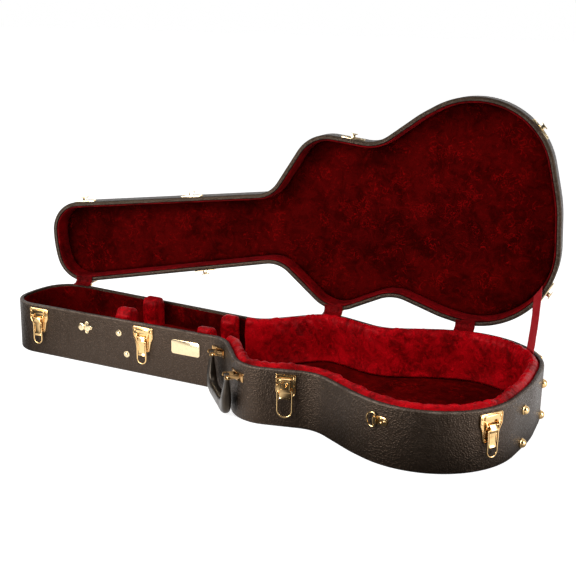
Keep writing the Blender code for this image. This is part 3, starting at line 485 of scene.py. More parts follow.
def make_materials():
    """Every finish of the case by its name."""
    groups = {"grain": make_grain_group(), "pile": make_pile_group(),
              "plating": make_plating_group()}
    made = {name: surface(name, groups[group], *rest)
            for name, (group, *rest) in FINISHES.items()}
    return {**made, "black_plastic": make_plastic(), "ribbon": make_ribbon_weave()}


MATERIALS = make_materials()


# Mesh building

def linked(name, data):
    """A new object with this data, in the scene."""
    item = bpy.data.objects.new(name, data)
    bpy.context.scene.collection.objects.link(item)
    return item


def piece(name, mesh, material, body, nodes=(), matrix=None, smooth=0):
    """Links a mesh as a named piece that rides on a body and stands for CAD nodes.

    smooth is the angle in degrees above which an edge shows sharp; at 0 none does.
    """
    item = linked(name, mesh)
    mesh.materials.append(MATERIALS[material])
    if matrix is not None:
        mesh.transform(matrix)
    mesh.shade_smooth()
    if smooth:
        mesh.set_sharp_from_angle(angle=math.radians(smooth))
    if body:
        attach(item, body)
    if nodes:
        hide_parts(*nodes)
    return item


def mesh_from(name, verts, faces):
    mesh = bpy.data.meshes.new(name)
    mesh.from_pydata([tuple(v) for v in verts], [], faces)
    mesh.update()
    return mesh


def outward(mesh, change=None):
    """Turns the faces of a mesh outward, after a change to it if one is given."""
    bm = bmesh.new()
    bm.from_mesh(mesh)
    if change:
        change(bm)
    bmesh.ops.recalc_face_normals(bm, faces=bm.faces[:])
    bm.to_mesh(mesh)
    bm.free()
    return mesh


def upside_down(mesh):
    """Mirrors a mesh in Z, for the lid's pieces that are built with their shown side up."""
    mesh.transform(Matrix.Scale(-1, 4, (0, 0, 1)))
    mesh.flip_normals()


def skin_faces(stops, count, closed_run, closed_section):
    """Faces between neighbouring sections; a closed section on an open run gets flat ends."""
    faces = []
    for i in range(stops if closed_run else stops - 1):
        j = (i + 1) % stops
        for k in range(count if closed_section else count - 1):
            m = (k + 1) % count
            faces.append((i * count + k, j * count + k, j * count + m, i * count + m))
    if closed_section and not closed_run:
        faces.append(tuple(range(count)))
        faces.append(tuple(range((stops - 1) * count, stops * count))[::-1])
    return faces


def sweep(name, points, normals, section, closed_run=True, closed_section=True):
    """Skin through one section per stop. section gives (depth in, height) rows per stop."""
    stops, count = len(points), section.shape[1]
    verts = np.empty((stops, count, 3))
    verts[:, :, :2] = points[:, None, :] - normals[:, None, :] * section[:, :, 0:1]
    verts[:, :, 2] = section[:, :, 1]
    faces = skin_faces(stops, count, closed_run, closed_section)
    return outward(mesh_from(name, verts.reshape(-1, 3), faces))


def arc(centre, radius, start, end, steps):
    """Points on an arc, angles in degrees."""
    out = []
    for k in range(steps + 1):
        angle = math.radians(start + (end - start) * k / steps)
        out.append((centre[0] + radius * math.cos(angle), centre[1] + radius * math.sin(angle)))
    return out


EDGE_STEPS = 5
INNER_EDGE = 0.0012                 # radius of a wall's rim on its hidden side


def wall_mesh(name, low, high, edge_low, edge_high, rim_highlight_lines):
    """The side wall as one skin, with rounded edges at its rim and at its panel.

    The last argument gives the strength of a painted highlight on the rim at eight lines, from its
    outside to its inside.
    """
    out = arc((edge_low, low + edge_low), edge_low, -90, -180, EDGE_STEPS)
    rim_line = len(out)
    out += arc((edge_high, high - edge_high), edge_high, 180, 90, EDGE_STEPS)
    out += arc((WALL - INNER_EDGE, high - INNER_EDGE), INNER_EDGE, 90, 0, 3)
    out += [(WALL, low)]
    stops = np.arange(0, SMOOTH_PLAN.total, 0.004)
    points, normals = SMOOTH_PLAN.at(stops)
    mesh = sweep(name, points, normals, np.repeat(np.array(out)[None], len(stops), 0))
    # The rim's painted highlight, stored on the mesh for the vinyl's shader
    rim_highlight = np.zeros(len(out))
    rim_highlight[rim_line:rim_line + len(rim_highlight_lines)] = rim_highlight_lines
    mesh.attributes.new("rim_highlight", "FLOAT", "POINT").data.foreach_set(
        "value", np.tile(rim_highlight, len(stops)).astype(np.float32))
    return mesh


def inner_plan(inset, spacing):
    """The outline, moved in from the outside of the walls, with a point at each spacing."""
    points, normals = SMOOTH_PLAN.at(np.arange(0, SMOOTH_PLAN.total, spacing))
    return points - normals * inset


ROW_SHARE = 0.866                   # rows of even triangles, as a share of their side


def sheet_mesh(name, outline, grid, height):
    """A filled panel over the outline, with points on a grid; height gives Z at each point."""
    low, high = outline.min(0), outline.max(0)
    xs = np.arange(low[0] + grid / 2, high[0], grid)
    ys = np.arange(low[1] + grid / 2, high[1], grid * ROW_SHARE)
    inside = np.array([(x, y) for row, y in enumerate(ys)
                       for x in xs + (grid / 2 if row % 2 else 0)])
    keep = within(inside, outline) & (edge_distance(inside, outline) > grid * 0.45)
    points = [Vector(p) for p in np.vstack((outline, inside[keep]))]
    edges = [(i, (i + 1) % len(outline)) for i in range(len(outline))]
    verts, _, faces, *_ = geometry.delaunay_2d_cdt(points, edges, [], 1, 1e-7)
    flat = np.array(verts)
    z = height(flat, edge_distance(flat, outline))
    return mesh_from(name, np.column_stack((flat, z)), [tuple(f) for f in faces])


def within(points, outline):
    """True for each point inside the closed outline."""
    x, y = points[:, 0:1], points[:, 1:2]
    ax, ay = outline[:, 0], outline[:, 1]
    bx, by = np.roll(ax, -1), np.roll(ay, -1)
    crosses = (ay > y) != (by > y)
    with np.errstate(divide="ignore", invalid="ignore"):
        where = (bx - ax) * (y - ay) / (by - ay) + ax
    return (np.where(crosses, x < where, False).sum(1) % 2).astype(bool)


def edge_distance(points, outline):
    """Distance from each point to the outline."""
    best = np.full(len(points), np.inf)
    for p, q in zip(outline, np.roll(outline, -1, 0)):
        d = q - p
        t = np.clip(((points - p) @ d) / (d @ d), 0, 1)
        best = np.minimum(best, np.linalg.norm(points - p - t[:, None] * d, axis=1))
    return best


def thicken(mesh, drop):
    """Closes a panel with a skirt and a flat face, drop below its lowest point.

    With a drop below zero the flat face lies above its highest point.
    """
    def add_skirt(bm):
        out = bmesh.ops.extrude_face_region(bm, geom=bm.faces[:])
        moved = [v for v in out["geom"] if isinstance(v, bmesh.types.BMVert)]
        flat = (min if drop > 0 else max)(v.co.z for v in moved) - drop
        for v in moved:
            v.co.z = flat
    return outward(mesh, add_skirt)


def smooth_path(points, count):
    """A smooth line through the points, resampled evenly."""
    p = np.array(points, float)
    knots = running_length(p)
    slope = np.gradient(p, knots, axis=0)
    t = np.linspace(0, knots[-1], count)
    i = np.clip(np.searchsorted(knots, t) - 1, 0, len(p) - 2)
    h = (knots[i + 1] - knots[i])[:, None]
    w = ((t - knots[i])[:, None]) / h
    return ((2 * w ** 3 - 3 * w ** 2 + 1) * p[i] + (w ** 3 - 2 * w ** 2 + w) * h * slope[i]
            + (3 * w ** 2 - 2 * w ** 3) * p[i + 1] + (w ** 3 - w ** 2) * h * slope[i + 1])


def directions(line):
    """Unit tangent at each point of a line."""
    tangent = np.gradient(line, axis=0)
    return tangent / np.linalg.norm(tangent, axis=1, keepdims=True)


def grid_faces(stops, across):
    """Faces of a sheet with so many points along it and across it."""
    return [(a, a + 1, a + across + 1, a + across)
            for i in range(stops - 1) for a in range(i * across, (i + 1) * across - 1)]


# Vinyl shells

PANEL_INSET = WALL - 0.0004         # the panels' edge, hidden in the walls
PANEL_EDGE = 0.0012
RIM_EDGE = 0.0030
# Strength of the painted highlight on each rim, at eight lines from its outside to its inside
BASE_RIM_HIGHLIGHT = (0.15, 0.6, 1.0, 1.0, 0.7, 0.3, 0, 0)
LID_RIM_HIGHLIGHT = (0, 0, 0, 0, 0, 0, 0.5, 0.3)


def panel_mesh(name, low, high, outside):
    """Flat panel with its visible edge rounded; outside is 1 for a top and -1 for a bottom."""
    def height(flat, away):
        crown = np.clip(away / PANEL_EDGE, 0, 1)
        rise = PANEL_EDGE * (np.sqrt(1 - (1 - crown) ** 2) - 1)
        return (high if outside > 0 else low) + outside * rise

    mesh = sheet_mesh(name, inner_plan(PANEL_INSET, 0.008), 0.030, height)
    return thicken(mesh, (high - low - PANEL_EDGE) * outside)


def make_shells():
    piece("base_side_covering",
          wall_mesh("base_side_covering", 0, RIM, 0.004, RIM_EDGE, BASE_RIM_HIGHLIGHT),
          "vinyl", "base", ["base_side_wall"], smooth=40)
    piece("base_bottom_covering", panel_mesh("base_bottom_covering", 0, PANEL, -1),
          "vinyl", "base", ["base_bottom_panel"], smooth=40)
    low, high = RIM + 2 * GAP, RIM + LID_DEPTH
    wall = wall_mesh("lid_side_covering", -high, -low, 0.005, RIM_EDGE, LID_RIM_HIGHLIGHT)
    upside_down(wall)
    piece("lid_side_covering", wall, "vinyl", "lid", ["lid_side_wall"], matrix=LID, smooth=40)
    piece("lid_top_covering", panel_mesh("lid_top_covering", high - PANEL, high, 1),
          "vinyl", "lid", ["lid_top_panel"], matrix=LID, smooth=40)


# Velvet lining

# The padded roll's section, as depth in from the wall's outside and height
PADDING_SECTION = (
    (WALL + GAP, 0.080), (WALL + GAP, RIM - 0.0060), (WALL + 0.0026, RIM - 0.0020),
    (WALL + 0.0064, RIM + 0.0026), (WALL + 0.0115, RIM + 0.0050), (WALL + 0.0168, RIM + 0.0038),
    (WALL + 0.0212, RIM - 0.0022), (WALL + PADDING_WIDTH + 0.0004, RIM - 0.0140),
    (WALL + PADDING_WIDTH, 0.070), (WALL + PADDING_WIDTH - 0.0030, 0.045),
    (WALL + PADDING_WIDTH - 0.0028, 0.025), (WALL + PADDING_WIDTH - 0.0010, FLOOR + 0.0008),
)
PADDING_FADE = ((0, 0.15, 0.26, 0.45, 0.7, 1.0), (0.0, 0.25, 1.0, 1.0, 0.6, 0.2))


def folds(s, u, period, skew, seed):
    """Gathers across a strip: broken creases between rounded ridges, from 0 to 1."""
    out = []
    for x, y in zip(s / period, u * 2.2):
        spot = Vector((x * 0.50 + skew * y, y * 1.7 + 0.3 * x, seed))
        out.append(1 - min(1, 2.6 * abs(noise.noise(spot))))
    return np.array(out)


def slack(s, u, along, down, seed):
    """Slow unevenness over a strip."""
    return np.array([noise.noise(Vector((a * along, b * down, seed))) for a, b in zip(s, u)])


def make_body_padding():
    """Foam roll round the body under gathered velvet."""
    start, end = (SMOOTH_PLAN.crossing(side, BODY_LINING_X) for side in ("front", "back"))
    stops = np.arange(start, end, 0.0022)
    points, normals = SMOOTH_PLAN.at(stops)
    base = smooth_path(PADDING_SECTION, 34)
    tangent = directions(base)
    across = np.stack((tangent[:, 1], -tangent[:, 0]), 1)
    across *= np.sign(across[len(across) // 3, 1] or 1)
    travel = running_length(base)
    s, u = np.meshgrid(stops - start, travel / travel[-1], indexing="ij")
    flat_s, flat_u = s.ravel(), u.ravel()
    wide_fold = 1 - folds(flat_s, flat_u, 0.0150, 0.55, 3.1)
    small_fold = 1 - folds(flat_s, flat_u, 0.0070, -0.8, 7.7)
    soft = slack(flat_s, flat_u, 38, 7, 1.3)
    height = 0.0024 * (wide_fold - 0.6) + 0.0010 * (small_fold - 0.6) + 0.0009 * soft
    height = (height * np.interp(flat_u, *PADDING_FADE)).reshape(s.shape)
    section = base[None] + across[None] * height[:, :, None]
    mesh = sweep("body_padding_velvet", points, normals, section, False, False)
    close_strip(mesh, len(stops), base.shape[0])
    roll = piece("body_padding_velvet", mesh, "crimson_velvet", "base", ["base_body_padding"])


def close_strip(mesh, stops, count):
    """Joins a strip's two long edges and its ends, so the piece is a closed body."""
    def add_faces(bm):
        bm.verts.ensure_lookup_table()
        rows = [[bm.verts[i * count + k] for k in range(count)] for i in range(stops)]
        for a, b in zip(rows, rows[1:]):
            bm.faces.new((a[-1], a[0], b[0], b[-1]))
        bm.faces.new(rows[0])
        bm.faces.new(rows[-1])
    outward(mesh, add_faces)


def lining_section(outer, inner, low, high, steps):
    """Thin upholstered strip: up its hidden side, over a rolled top edge, down the shown side."""
    radius = (inner - outer) / 2
    top = arc((outer + radius, high - radius), radius, 180, 0, 8)
    down = [(inner, high - radius - (high - radius - low) * k / steps)
            for k in range(1, steps + 1)]
    return np.array([(outer, low)] + top + down)


def make_wall_lining(name, node, material, body, stops, low, high, period, depth, seed):
    """Velvet stretched on a wall, with a rolled edge at the rim and slack ripples below.

    The lid's goes all the way round and is built upside down.
    """
    on_lid = body == "lid"
    points, normals = SMOOTH_PLAN.at(stops)
    base = lining_section(WALL + GAP, WALL + GAP + LINING, low, high, 12)
    s, k = np.meshgrid(stops - stops[0], np.arange(len(base)), indexing="ij")
    flat_s, u = s.ravel(), (high - base[k, 1].ravel()) / (high - low)
    ripples = folds(flat_s, u, period, 0.9, seed) - 0.6
    loose = slack(flat_s, u, 30, 3, seed + 4)
    push = depth * (ripples * np.exp(-u * 3.5) + 0.7 * loose * np.clip(u * 4, 0.2, 1))
    push = push.reshape(s.shape)
    push[:, :2] = 0
    push[:, -1] = 0
    lift = (0.35 * depth * ripples * (u < 0.12)).reshape(s.shape)
    lift[:, 0] = 0
    section = np.repeat(base[None], len(stops), 0)
    section[:, :, 0] += push
    section[:, :, 1] += lift
    if on_lid:
        section[:, :, 1] *= -1
    mesh = sweep(name, points, normals, section, closed_run=on_lid)
    lining = piece(name, mesh, material, body, [node], matrix=LID if on_lid else None)


def make_linings():
    low, high = RIM + 2 * GAP + 0.0022, RIM + LID_DEPTH - PANEL - GAP
    total = SMOOTH_PLAN.total
    spacing = 0.0035
    make_wall_lining("lid_wall_velvet", "lid_wall_lining", "velvet_half_shaded_copy", "lid",
                     np.linspace(0, total, int(total / spacing), endpoint=False),
                     -high, -low, 0.028, 0.0009, 11.0)
    edge = BODY_LINING_X - 0.002
    start = SMOOTH_PLAN.crossing("back", edge)
    end = SMOOTH_PLAN.crossing("front", edge) + total
    make_wall_lining("neck_wall_velvet", "base_neck_lining", "maroon_velvet", "base",
                     np.arange(start, end, spacing), FLOOR, RIM - 0.004, 0.033, 0.0006, 23.0)


def make_pad(name, node, body, inset, spacing, grid, level, crown, rim, lumps, seed, thick):
    """An upholstered panel: crowned, rolled down at its edge, with soft lumps.

    The lid's is built upside down.
    """
    def height(flat, away):
        roll = np.clip(away / rim, 0, 1)
        edge = crown * np.sqrt(np.clip(1 - (1 - roll) ** 2, 0, 1))
        points = np.column_stack((flat, np.zeros(len(flat))))
        lump = waves(points, 16.0, 3, seed) * lumps
        pucker = waves(points, 75.0, 1, seed + 5) * lumps * np.exp(-away / 0.02)
        return level + edge + (lump + pucker) * roll

    mesh = thicken(sheet_mesh(name, inner_plan(inset, spacing), grid, height), thick)
    if body == "lid":
        upside_down(mesh)
    pad = piece(name, mesh, "maroon_velvet", body, [node], matrix=LID if body == "lid" else None)


def make_pads():
    under = RIM + LID_DEPTH - PANEL - GAP
    make_pad("lid_panel_velvet", "lid_pad", "lid", WALL + LINING + 3 * GAP, 0.006, 0.0065,
             -under + PAD - 0.0018, 0.0018, 0.012, 0.0005, 2.0, PAD - 0.0026)
    make_pad("floor_velvet", "base_floor_pad", "base", WALL + 2 * GAP, 0.008, 0.009,
             FLOOR - 0.0014, 0.0010, 0.010, 0.0004, 6.0, PAD - 0.0022)


def node_copy(node, name):
    """A welded copy of a CAD node's mesh."""
    bm = bmesh.new()
    bm.from_mesh(NODES[node].data)
    bmesh.ops.remove_doubles(bm, verts=bm.verts[:], dist=1e-5)
    mesh = bpy.data.meshes.new(name)
    bm.to_mesh(mesh)
    bm.free()
    return mesh


def applied(item):
    """The evaluated mesh of an object, as a new mesh."""
    graph = bpy.context.evaluated_depsgraph_get()
    graph.update()
    return bpy.data.meshes.new_from_object(item.evaluated_get(graph))


def point_array(mesh, kind="co"):
    """Places of a mesh's points, or their normals."""
    return np.array([getattr(v, kind) for v in mesh.vertices])


def place_points(mesh, points):
    for vertex, point in zip(mesh.vertices, points):
        vertex.co = point
    mesh.update()


STUFFING = {"quality": 6, "mass": 0.3, "use_pressure": True, "uniform_pressure_force": 3.0,
            "tension_stiffness": 12, "compression_stiffness": 6, "bending_stiffness": 0.4}
STUFFING_VOXEL = 0.0045
STUFFING_SHRINK = 0.0016
STUFFING_REACH = 0.0030             # no point moves further than this
STUFFING_FRAMES = 16


def inflate(mesh):
    """Swells a cushion shape like stuffed cloth, and returns its new mesh."""
    item = linked("stuffing", mesh)
    remesh = item.modifiers.new("remesh", "REMESH")
    remesh.mode = "VOXEL"
    remesh.voxel_size = STUFFING_VOXEL
    mesh = applied(item)
    item.modifiers.clear()
    item.data = mesh
    start = point_array(mesh) - point_array(mesh, "normal") * STUFFING_SHRINK
    place_points(mesh, start)
    cloth = item.modifiers.new("cloth", "CLOTH")
    for name, value in STUFFING.items():
        setattr(cloth.settings, name, value)
    cloth.settings.effector_weights.gravity = 0
    cloth.point_cache.frame_start = 1
    cloth.point_cache.frame_end = STUFFING_FRAMES
    scene = bpy.context.scene
    for number in range(1, STUFFING_FRAMES + 1):
        scene.frame_set(number)
    swollen = applied(item)
    move = point_array(swollen) - start
    bpy.data.objects.remove(item, do_unlink=True)
    scene.frame_set(1)
    length = np.linalg.norm(move, axis=1, keepdims=True)
    place_points(swollen, start + move * np.minimum(1, STUFFING_REACH / np.maximum(length, 1e-9)))
    return swollen


def make_neck_supports():
    """Stuffed velvet blocks that carry the neck, with crushed pile and small folds."""
    for node, name, seed in (("neck_cradle", "neck_cradle_velvet", 5.0),
                             ("heel_block", "heel_block_velvet", 9.0)):
        mesh = node_copy(node, name)
        mesh = inflate(mesh)
        item = piece(name, mesh, "crimson_velvet", "base", [node])
        level = item.modifiers.new("soften", "SUBSURF")
        level.levels = level.render_levels = 1
        points, normals = point_array(mesh), point_array(mesh, "normal")
        lift = waves(points, 95.0, 2, seed) * 0.0007
        place_points(mesh, points + normals * lift[:, None])


def make_compartment_flap():
    """Board in velvet between the neck supports."""
    piece("compartment_flap_velvet", node_copy("compartment_lid", "compartment_flap_velvet"),
          "maroon_velvet", "flap", ["compartment_lid"], smooth=30)


# Fabric at the hinges

# A cover's way from the padding over the knuckle and up the lid lining, as Y and Z from the pin
COVER_PATH = ((-0.0165, 0.0008), (-0.0068, 0.0012), (-0.0048, 0.0019), (-0.0034, 0.0034),
              (-0.0019, 0.0048), (-0.0006, 0.0066), (-0.0002, 0.0095), (-0.0002, 0.0175))
COVER_WIDTH = 0.038
COVER_SPLIT = 24
CLOTH_THICKNESS = 0.0008


def cloth_body(item):
    """Gives a sheet of cloth its thickness, half to each side."""
    solid = item.modifiers.new("cloth thickness", "SOLIDIFY")
    solid.thickness = CLOTH_THICKNESS
    solid.offset = 0


def make_hinge_covers():
    """Velvet strips that hide the hinge knuckles."""
    for number in HINGES:
        low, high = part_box(f"hinge_cover_{number}")
        centre = (low.x + high.x) / 2
        reach = HINGE.y - low.y - 0.0145
        line = smooth_path([(y - (reach if k < 3 else 0), z)
                            for k, (y, z) in enumerate(COVER_PATH)], 26)
        verts = []
        for i, (p, d) in enumerate(zip(line, directions(line))):
            t = i / (len(line) - 1)
            for k in range(COVER_SPLIT + 1):
                x = 2 * k / COVER_SPLIT - 1
                bend = noise.noise(Vector((x * 2.6, t * 3.5, number * 3.3)))
                fine = noise.noise(Vector((x * 7.0, t * 6.0, number * 5.1)))
                pleat = 0.25 - abs(noise.noise(Vector((x * 4.2, t * 1.4, number * 2.7))))
                lift = 0.0004 + math.sin(math.pi * t) * (0.0011 * bend + 0.0004 * fine
                                                         + 0.0030 * pleat)
                verts.append((centre + x * COVER_WIDTH / 2, HINGE.y + p[0] - d[1] * lift,
                              HINGE.z + p[1] + d[0] * lift))
        name = f"hinge_cover_velvet_{number}"
        mesh = mesh_from(name, verts, grid_faces(len(line), COVER_SPLIT + 1))
        item = piece(name, mesh, "velvet_half_shaded_copy", None, [f"hinge_cover_{number}"])
        cloth_body(item)
        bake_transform(item)


STAY_LOW = (Vector((0.4940, 0.1490, RIM + 0.0034)), Vector((0.5085, 0.1245, RIM + 0.0034)))
STAY_HIGH = (Vector((0.4918, 0.2290, 0.1820)), Vector((0.5058, 0.2290, 0.2033)))
STAY_TUCK = Vector((0.0018, 0.0, -0.0060))      # its low end goes on into the padding
STAY_SPLIT = (44, 10)               # steps along it and across it
STAY_TUCK_STEPS = 4


def make_stay_ribbon():
    """Ribbon that holds the lid from falling back, a little twisted on its way up."""
    low, high = (sum(ends, Vector()) / 2 for ends in (STAY_LOW, STAY_HIGH))
    run = high - low
    side = (STAY_LOW[1] - STAY_LOW[0] + STAY_HIGH[1] - STAY_HIGH[0]).normalized()
    out = side.cross(run).normalized()
    along, over = STAY_SPLIT
    verts = []
    for i in range(-STAY_TUCK_STEPS, along + 1):
        t = max(i, 0) / along
        into = STAY_TUCK * (max(-i, 0) / STAY_TUCK_STEPS)
        sag = 0.0016 * math.sin(math.pi * t)
        left, right = (STAY_LOW[k].lerp(STAY_HIGH[k], t) for k in (0, 1))
        for k in range(over + 1):
            x = -1 + 2 * k / over
            curl = 0.0007 * x * x + 0.0005 * noise.noise(Vector((x * 1.5, t * 9, 4.2)))
            verts.append(left.lerp(right, (x + 1) / 2) + out * (curl - sag) + into)
    mesh = mesh_from("stay_ribbon_weave", verts, grid_faces(along + STAY_TUCK_STEPS + 1, over + 1))
    item = piece("stay_ribbon_weave", mesh, "ribbon", "base", ["stay_ribbon"])
    cloth_body(item)
    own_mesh(item)


# Hardware parts, each made in the frame of its wall: X along, -Y out, Z up

BACK = 0.0012                       # how far fittings sink into the covering
FACE = -0.0016                      # front of a pressed plate
SOFT_EDGE = 0.0005
FINE_EDGE = 0.0003


def slab(points, start, end, edge, axis):
    """An outline pushed from start to end along an axis, with rounded edges."""
    bm = bmesh.new()
    face = bm.faces.new([bm.verts.new((*p[:axis], start, *p[axis:])) for p in points])
    out = bmesh.ops.extrude_face_region(bm, geom=[face])
    for item in out["geom"]:
        if isinstance(item, bmesh.types.BMVert):
            item.co[axis] = end
    bmesh.ops.recalc_face_normals(bm, faces=bm.faces[:])
    sharp = [e for e in bm.edges if e.is_manifold and e.calc_face_angle(0) > math.radians(25)]
    if edge:
        bmesh.ops.bevel(bm, geom=sharp, offset=edge, segments=2, profile=0.5,
                        affect="EDGES", clamp_overlap=True)
    return bm


def plate(points, front, back, edge=SOFT_EDGE):
    """Outline in X and Z, from front to back along Y."""
    return slab(points, back, front, edge, 1)


def side_plate(points, low, high, edge=FINE_EDGE):
    """Outline in Y and Z, from low to high along X."""
    return slab(points, low, high, edge, 0)


def cheeks(points, inner, outer):
    """The same upright plate at each side, from inner to outer."""
    return [side_plate(points, *sorted((side * inner, side * outer))) for side in SIDES]


def box(low_x, low_z, high_x, high_z):
    return [(low_x, low_z), (high_x, low_z), (high_x, high_z), (low_x, high_z)]


def ring_of_points(bm, centre, across, over, segments):
    """Points round a centre, in the plane of two radius vectors."""
    turns = [math.tau * k / segments for k in range(segments)]
    return [bm.verts.new(centre + across * math.cos(a) + over * math.sin(a)) for a in turns]


def skin_rings(bm, rings, closed=False):
    """Faces from ring to ring, with both ends filled; a ring of one point makes a tip."""
    pairs = list(zip(rings, rings[1:]))
    if closed:
        pairs.append((rings[-1], rings[0]))
    for a, b in pairs:
        count = max(len(a), len(b))
        for k in range(count):
            m = (k + 1) % count
            if len(a) == 1:
                bm.faces.new((a[0], b[k], b[m]))
            elif len(b) == 1:
                bm.faces.new((a[k], a[m], b[0]))
            else:
                bm.faces.new((a[k], a[m], b[m], b[k]))
    for ring in () if closed else (rings[0], rings[-1]):
        if len(ring) > 1:
            bm.faces.new(ring)
    bmesh.ops.recalc_face_normals(bm, faces=bm.faces[:])
    return bm


def turned(profile, place=(0, 0, 0), segments=28, axis=(0, -1, 0)):
    """A profile of (radius, height) turned about an axis through place."""
    bm = bmesh.new()
    place = Vector(place)
    turn = Vector((0, 0, 1)).rotation_difference(Vector(axis)).to_matrix()
    rings = []
    for radius, height in profile:
        middle = place + turn @ Vector((0, 0, height))
        if radius:
            rings.append(ring_of_points(bm, middle, turn @ Vector((radius, 0, 0)),
                                        turn @ Vector((0, radius, 0)), segments))
        else:
            rings.append([bm.verts.new(middle)])
    return skin_rings(bm, rings)


def pin(radius, start, end, segments=16):
    start, end = Vector(start), Vector(end)
    length = (end - start).length
    edge = radius * 0.25
    profile = [(0, 0), (radius - edge, 0), (radius, edge), (radius, length - edge),
               (radius - edge, length), (0, length)]
    return turned(profile, start, segments, (end - start).normalized())


def rivet(x, z, radius=0.0022, height=0.0011, base=FACE):
    """A domed rivet head on a face at Y = base."""
    profile = [(radius, -0.0004), (radius, height * 0.15), (radius * 0.94, height * 0.45),
               (radius * 0.75, height * 0.78), (radius * 0.4, height * 0.96), (0, height)]
    return turned(profile, (x, base, z), 18)


def rivet_pairs(rows):
    """Rivets at both sides, from rows of what a rivet takes."""
    return [rivet(side * x, *rest) for side in SIDES for x, *rest in rows]


def tube(points, radius, segments=14, closed=False):
    """A round wire along the points."""
    p = [Vector(q) for q in points]
    bm = bmesh.new()
    count = len(p)
    rings = []
    normal = None
    for i in range(count):
        a = p[i - 1] if i or closed else p[i]
        b = p[(i + 1) % count] if i < count - 1 or closed else p[i]
        tangent = (b - a).normalized()
        if normal is None:
            normal = tangent.orthogonal().normalized()
        normal = (normal - tangent * normal.dot(tangent)).normalized()
        rings.append(ring_of_points(bm, p[i], normal * radius, tangent.cross(normal) * radius,
                                    segments))
    return skin_rings(bm, rings, closed)


def joined(name, parts):
    """One mesh from several bmeshes, which are freed."""
    whole = bmesh.new()
    for part in parts:
        mesh = bpy.data.meshes.new("part")
        part.to_mesh(mesh)
        part.free()
        whole.from_mesh(mesh)
        bpy.data.meshes.remove(mesh)
    mesh = bpy.data.meshes.new(name)
    whole.to_mesh(mesh)
    whole.free()
    return mesh


def hardware(name, parts, matrix, body, nodes, material="gold"):
    piece(name, joined(name, parts), material, body, nodes, matrix=matrix, smooth=32)


def joint_frame(joint, pin_y=0.0, pin_z=0.0, sign=1):
    """Frame of a fitting: X along its wall, placed so that its pin is at pin_y and pin_z.

    sign is -1 where the joint's axis runs against X.
    """
    along = sign * Vector(JOINTS[joint]["axis"])
    inward = Vector((-along.y, along.x, 0))
    origin = Vector(JOINTS[joint]["pos_m"]) - inward * pin_y - Vector((0, 0, pin_z))
    turn = Matrix((along, inward, (0, 0, 1))).transposed()
    return Matrix.Translation(origin) @ turn.to_4x4()


def rolled_rim(outline, wire=0.0008):
    """A rim rolled up round a pressed plate."""
    low = Vector((min(x for x, _ in outline), min(z for _, z in outline)))
    high = Vector((max(x for x, _ in outline), max(z for _, z in outline)))
    middle, size = (low + high) / 2, high - low
    fit = Vector((1 - 2 * wire / size.x, 1 - 2 * wire / size.y))
    return tube([(middle.x + (x - middle.x) * fit.x, FACE, middle.y + (z - middle.y) * fit.y)
                 for x, z in outline], wire, 8, True)


def rimmed_plate(outline):
    return [plate(outline, FACE, BACK), rolled_rim(outline)]


# Latches: outlines are (x, z), profiles (y, z), and a pin is given as (y, z)

LATCHES = range(1, 7)
LOCKED_LATCH = 3
LATCH_PIN = (-0.0046, -0.0200)
LOCK_PIN = (-0.0046, -0.0080)
PIN_RADIUS = 0.0012
LATCH_LOOP = ((-0.0073, -0.0270), 0.0097, 0.0448)       # its pin, half width and drop
LOCK_LOOP = ((-0.0073, -0.0285), 0.0128, 0.0465)
LOCK_FACE = -0.0096                 # front of the lock's box
KEY_Z = -0.0155                     # height of the key plug


def latch_plate_parts():
    outline = [(-0.0225, -0.0015), (-0.0210, 0), (0.0210, 0), (0.0225, -0.0015),
               (0.0225, -0.0190), (0.0205, -0.0235), (0.0185, -0.0270), (0.0168, -0.0340),
               (0.0145, -0.0460), (0.0120, -0.0485), (-0.0120, -0.0485), (-0.0145, -0.0460),
               (-0.0168, -0.0340), (-0.0185, -0.0270), (-0.0205, -0.0235), (-0.0225, -0.0190)]
    boss = [(-0.0150, -0.0112), (-0.0140, -0.0030), (0.0140, -0.0030), (0.0150, -0.0112)]
    ear = [(-0.0012, -0.0135), (-0.0052, -0.0130), (-0.0066, -0.0180), (-0.0066, -0.0220),
           (-0.0050, -0.0265), (-0.0012, -0.0275)]
    return [*rimmed_plate(outline), plate(boss, -0.0040, -0.0012, 0.0008),
            *cheeks(ear, 0.0114, 0.0128),
            *rivet_pairs([(0.0185, -0.0075), (0.0185, -0.0165, 0.0018, 0.0008),
                          (0.0112, -0.0440, 0.0019, 0.0009)]),
            pin(PIN_RADIUS, (-0.0136, *LATCH_PIN), (0.0136, *LATCH_PIN))]


def lock_plate_parts():
    outline = [(-0.0175, -0.0010), (-0.0165, 0), (0.0165, 0), (0.0175, -0.0010),
               (0.0175, -0.0310), (0.0150, -0.0375), (-0.0150, -0.0375), (-0.0175, -0.0310)]
    ear = [(-0.0012, -0.0030), (-0.0052, -0.0025), (-0.0066, -0.0060), (-0.0066, -0.0100),
           (-0.0050, -0.0135), (-0.0012, -0.0145)]
    return [*rimmed_plate(outline), *cheeks(ear, 0.0145, 0.0159),
            *rivet_pairs([(0.0143, -0.0200, 0.0017, 0.0008), (0.0120, -0.0345, 0.0019, 0.0009)]),
            pin(PIN_RADIUS, (-0.0167, *LOCK_PIN), (0.0167, *LOCK_PIN))]


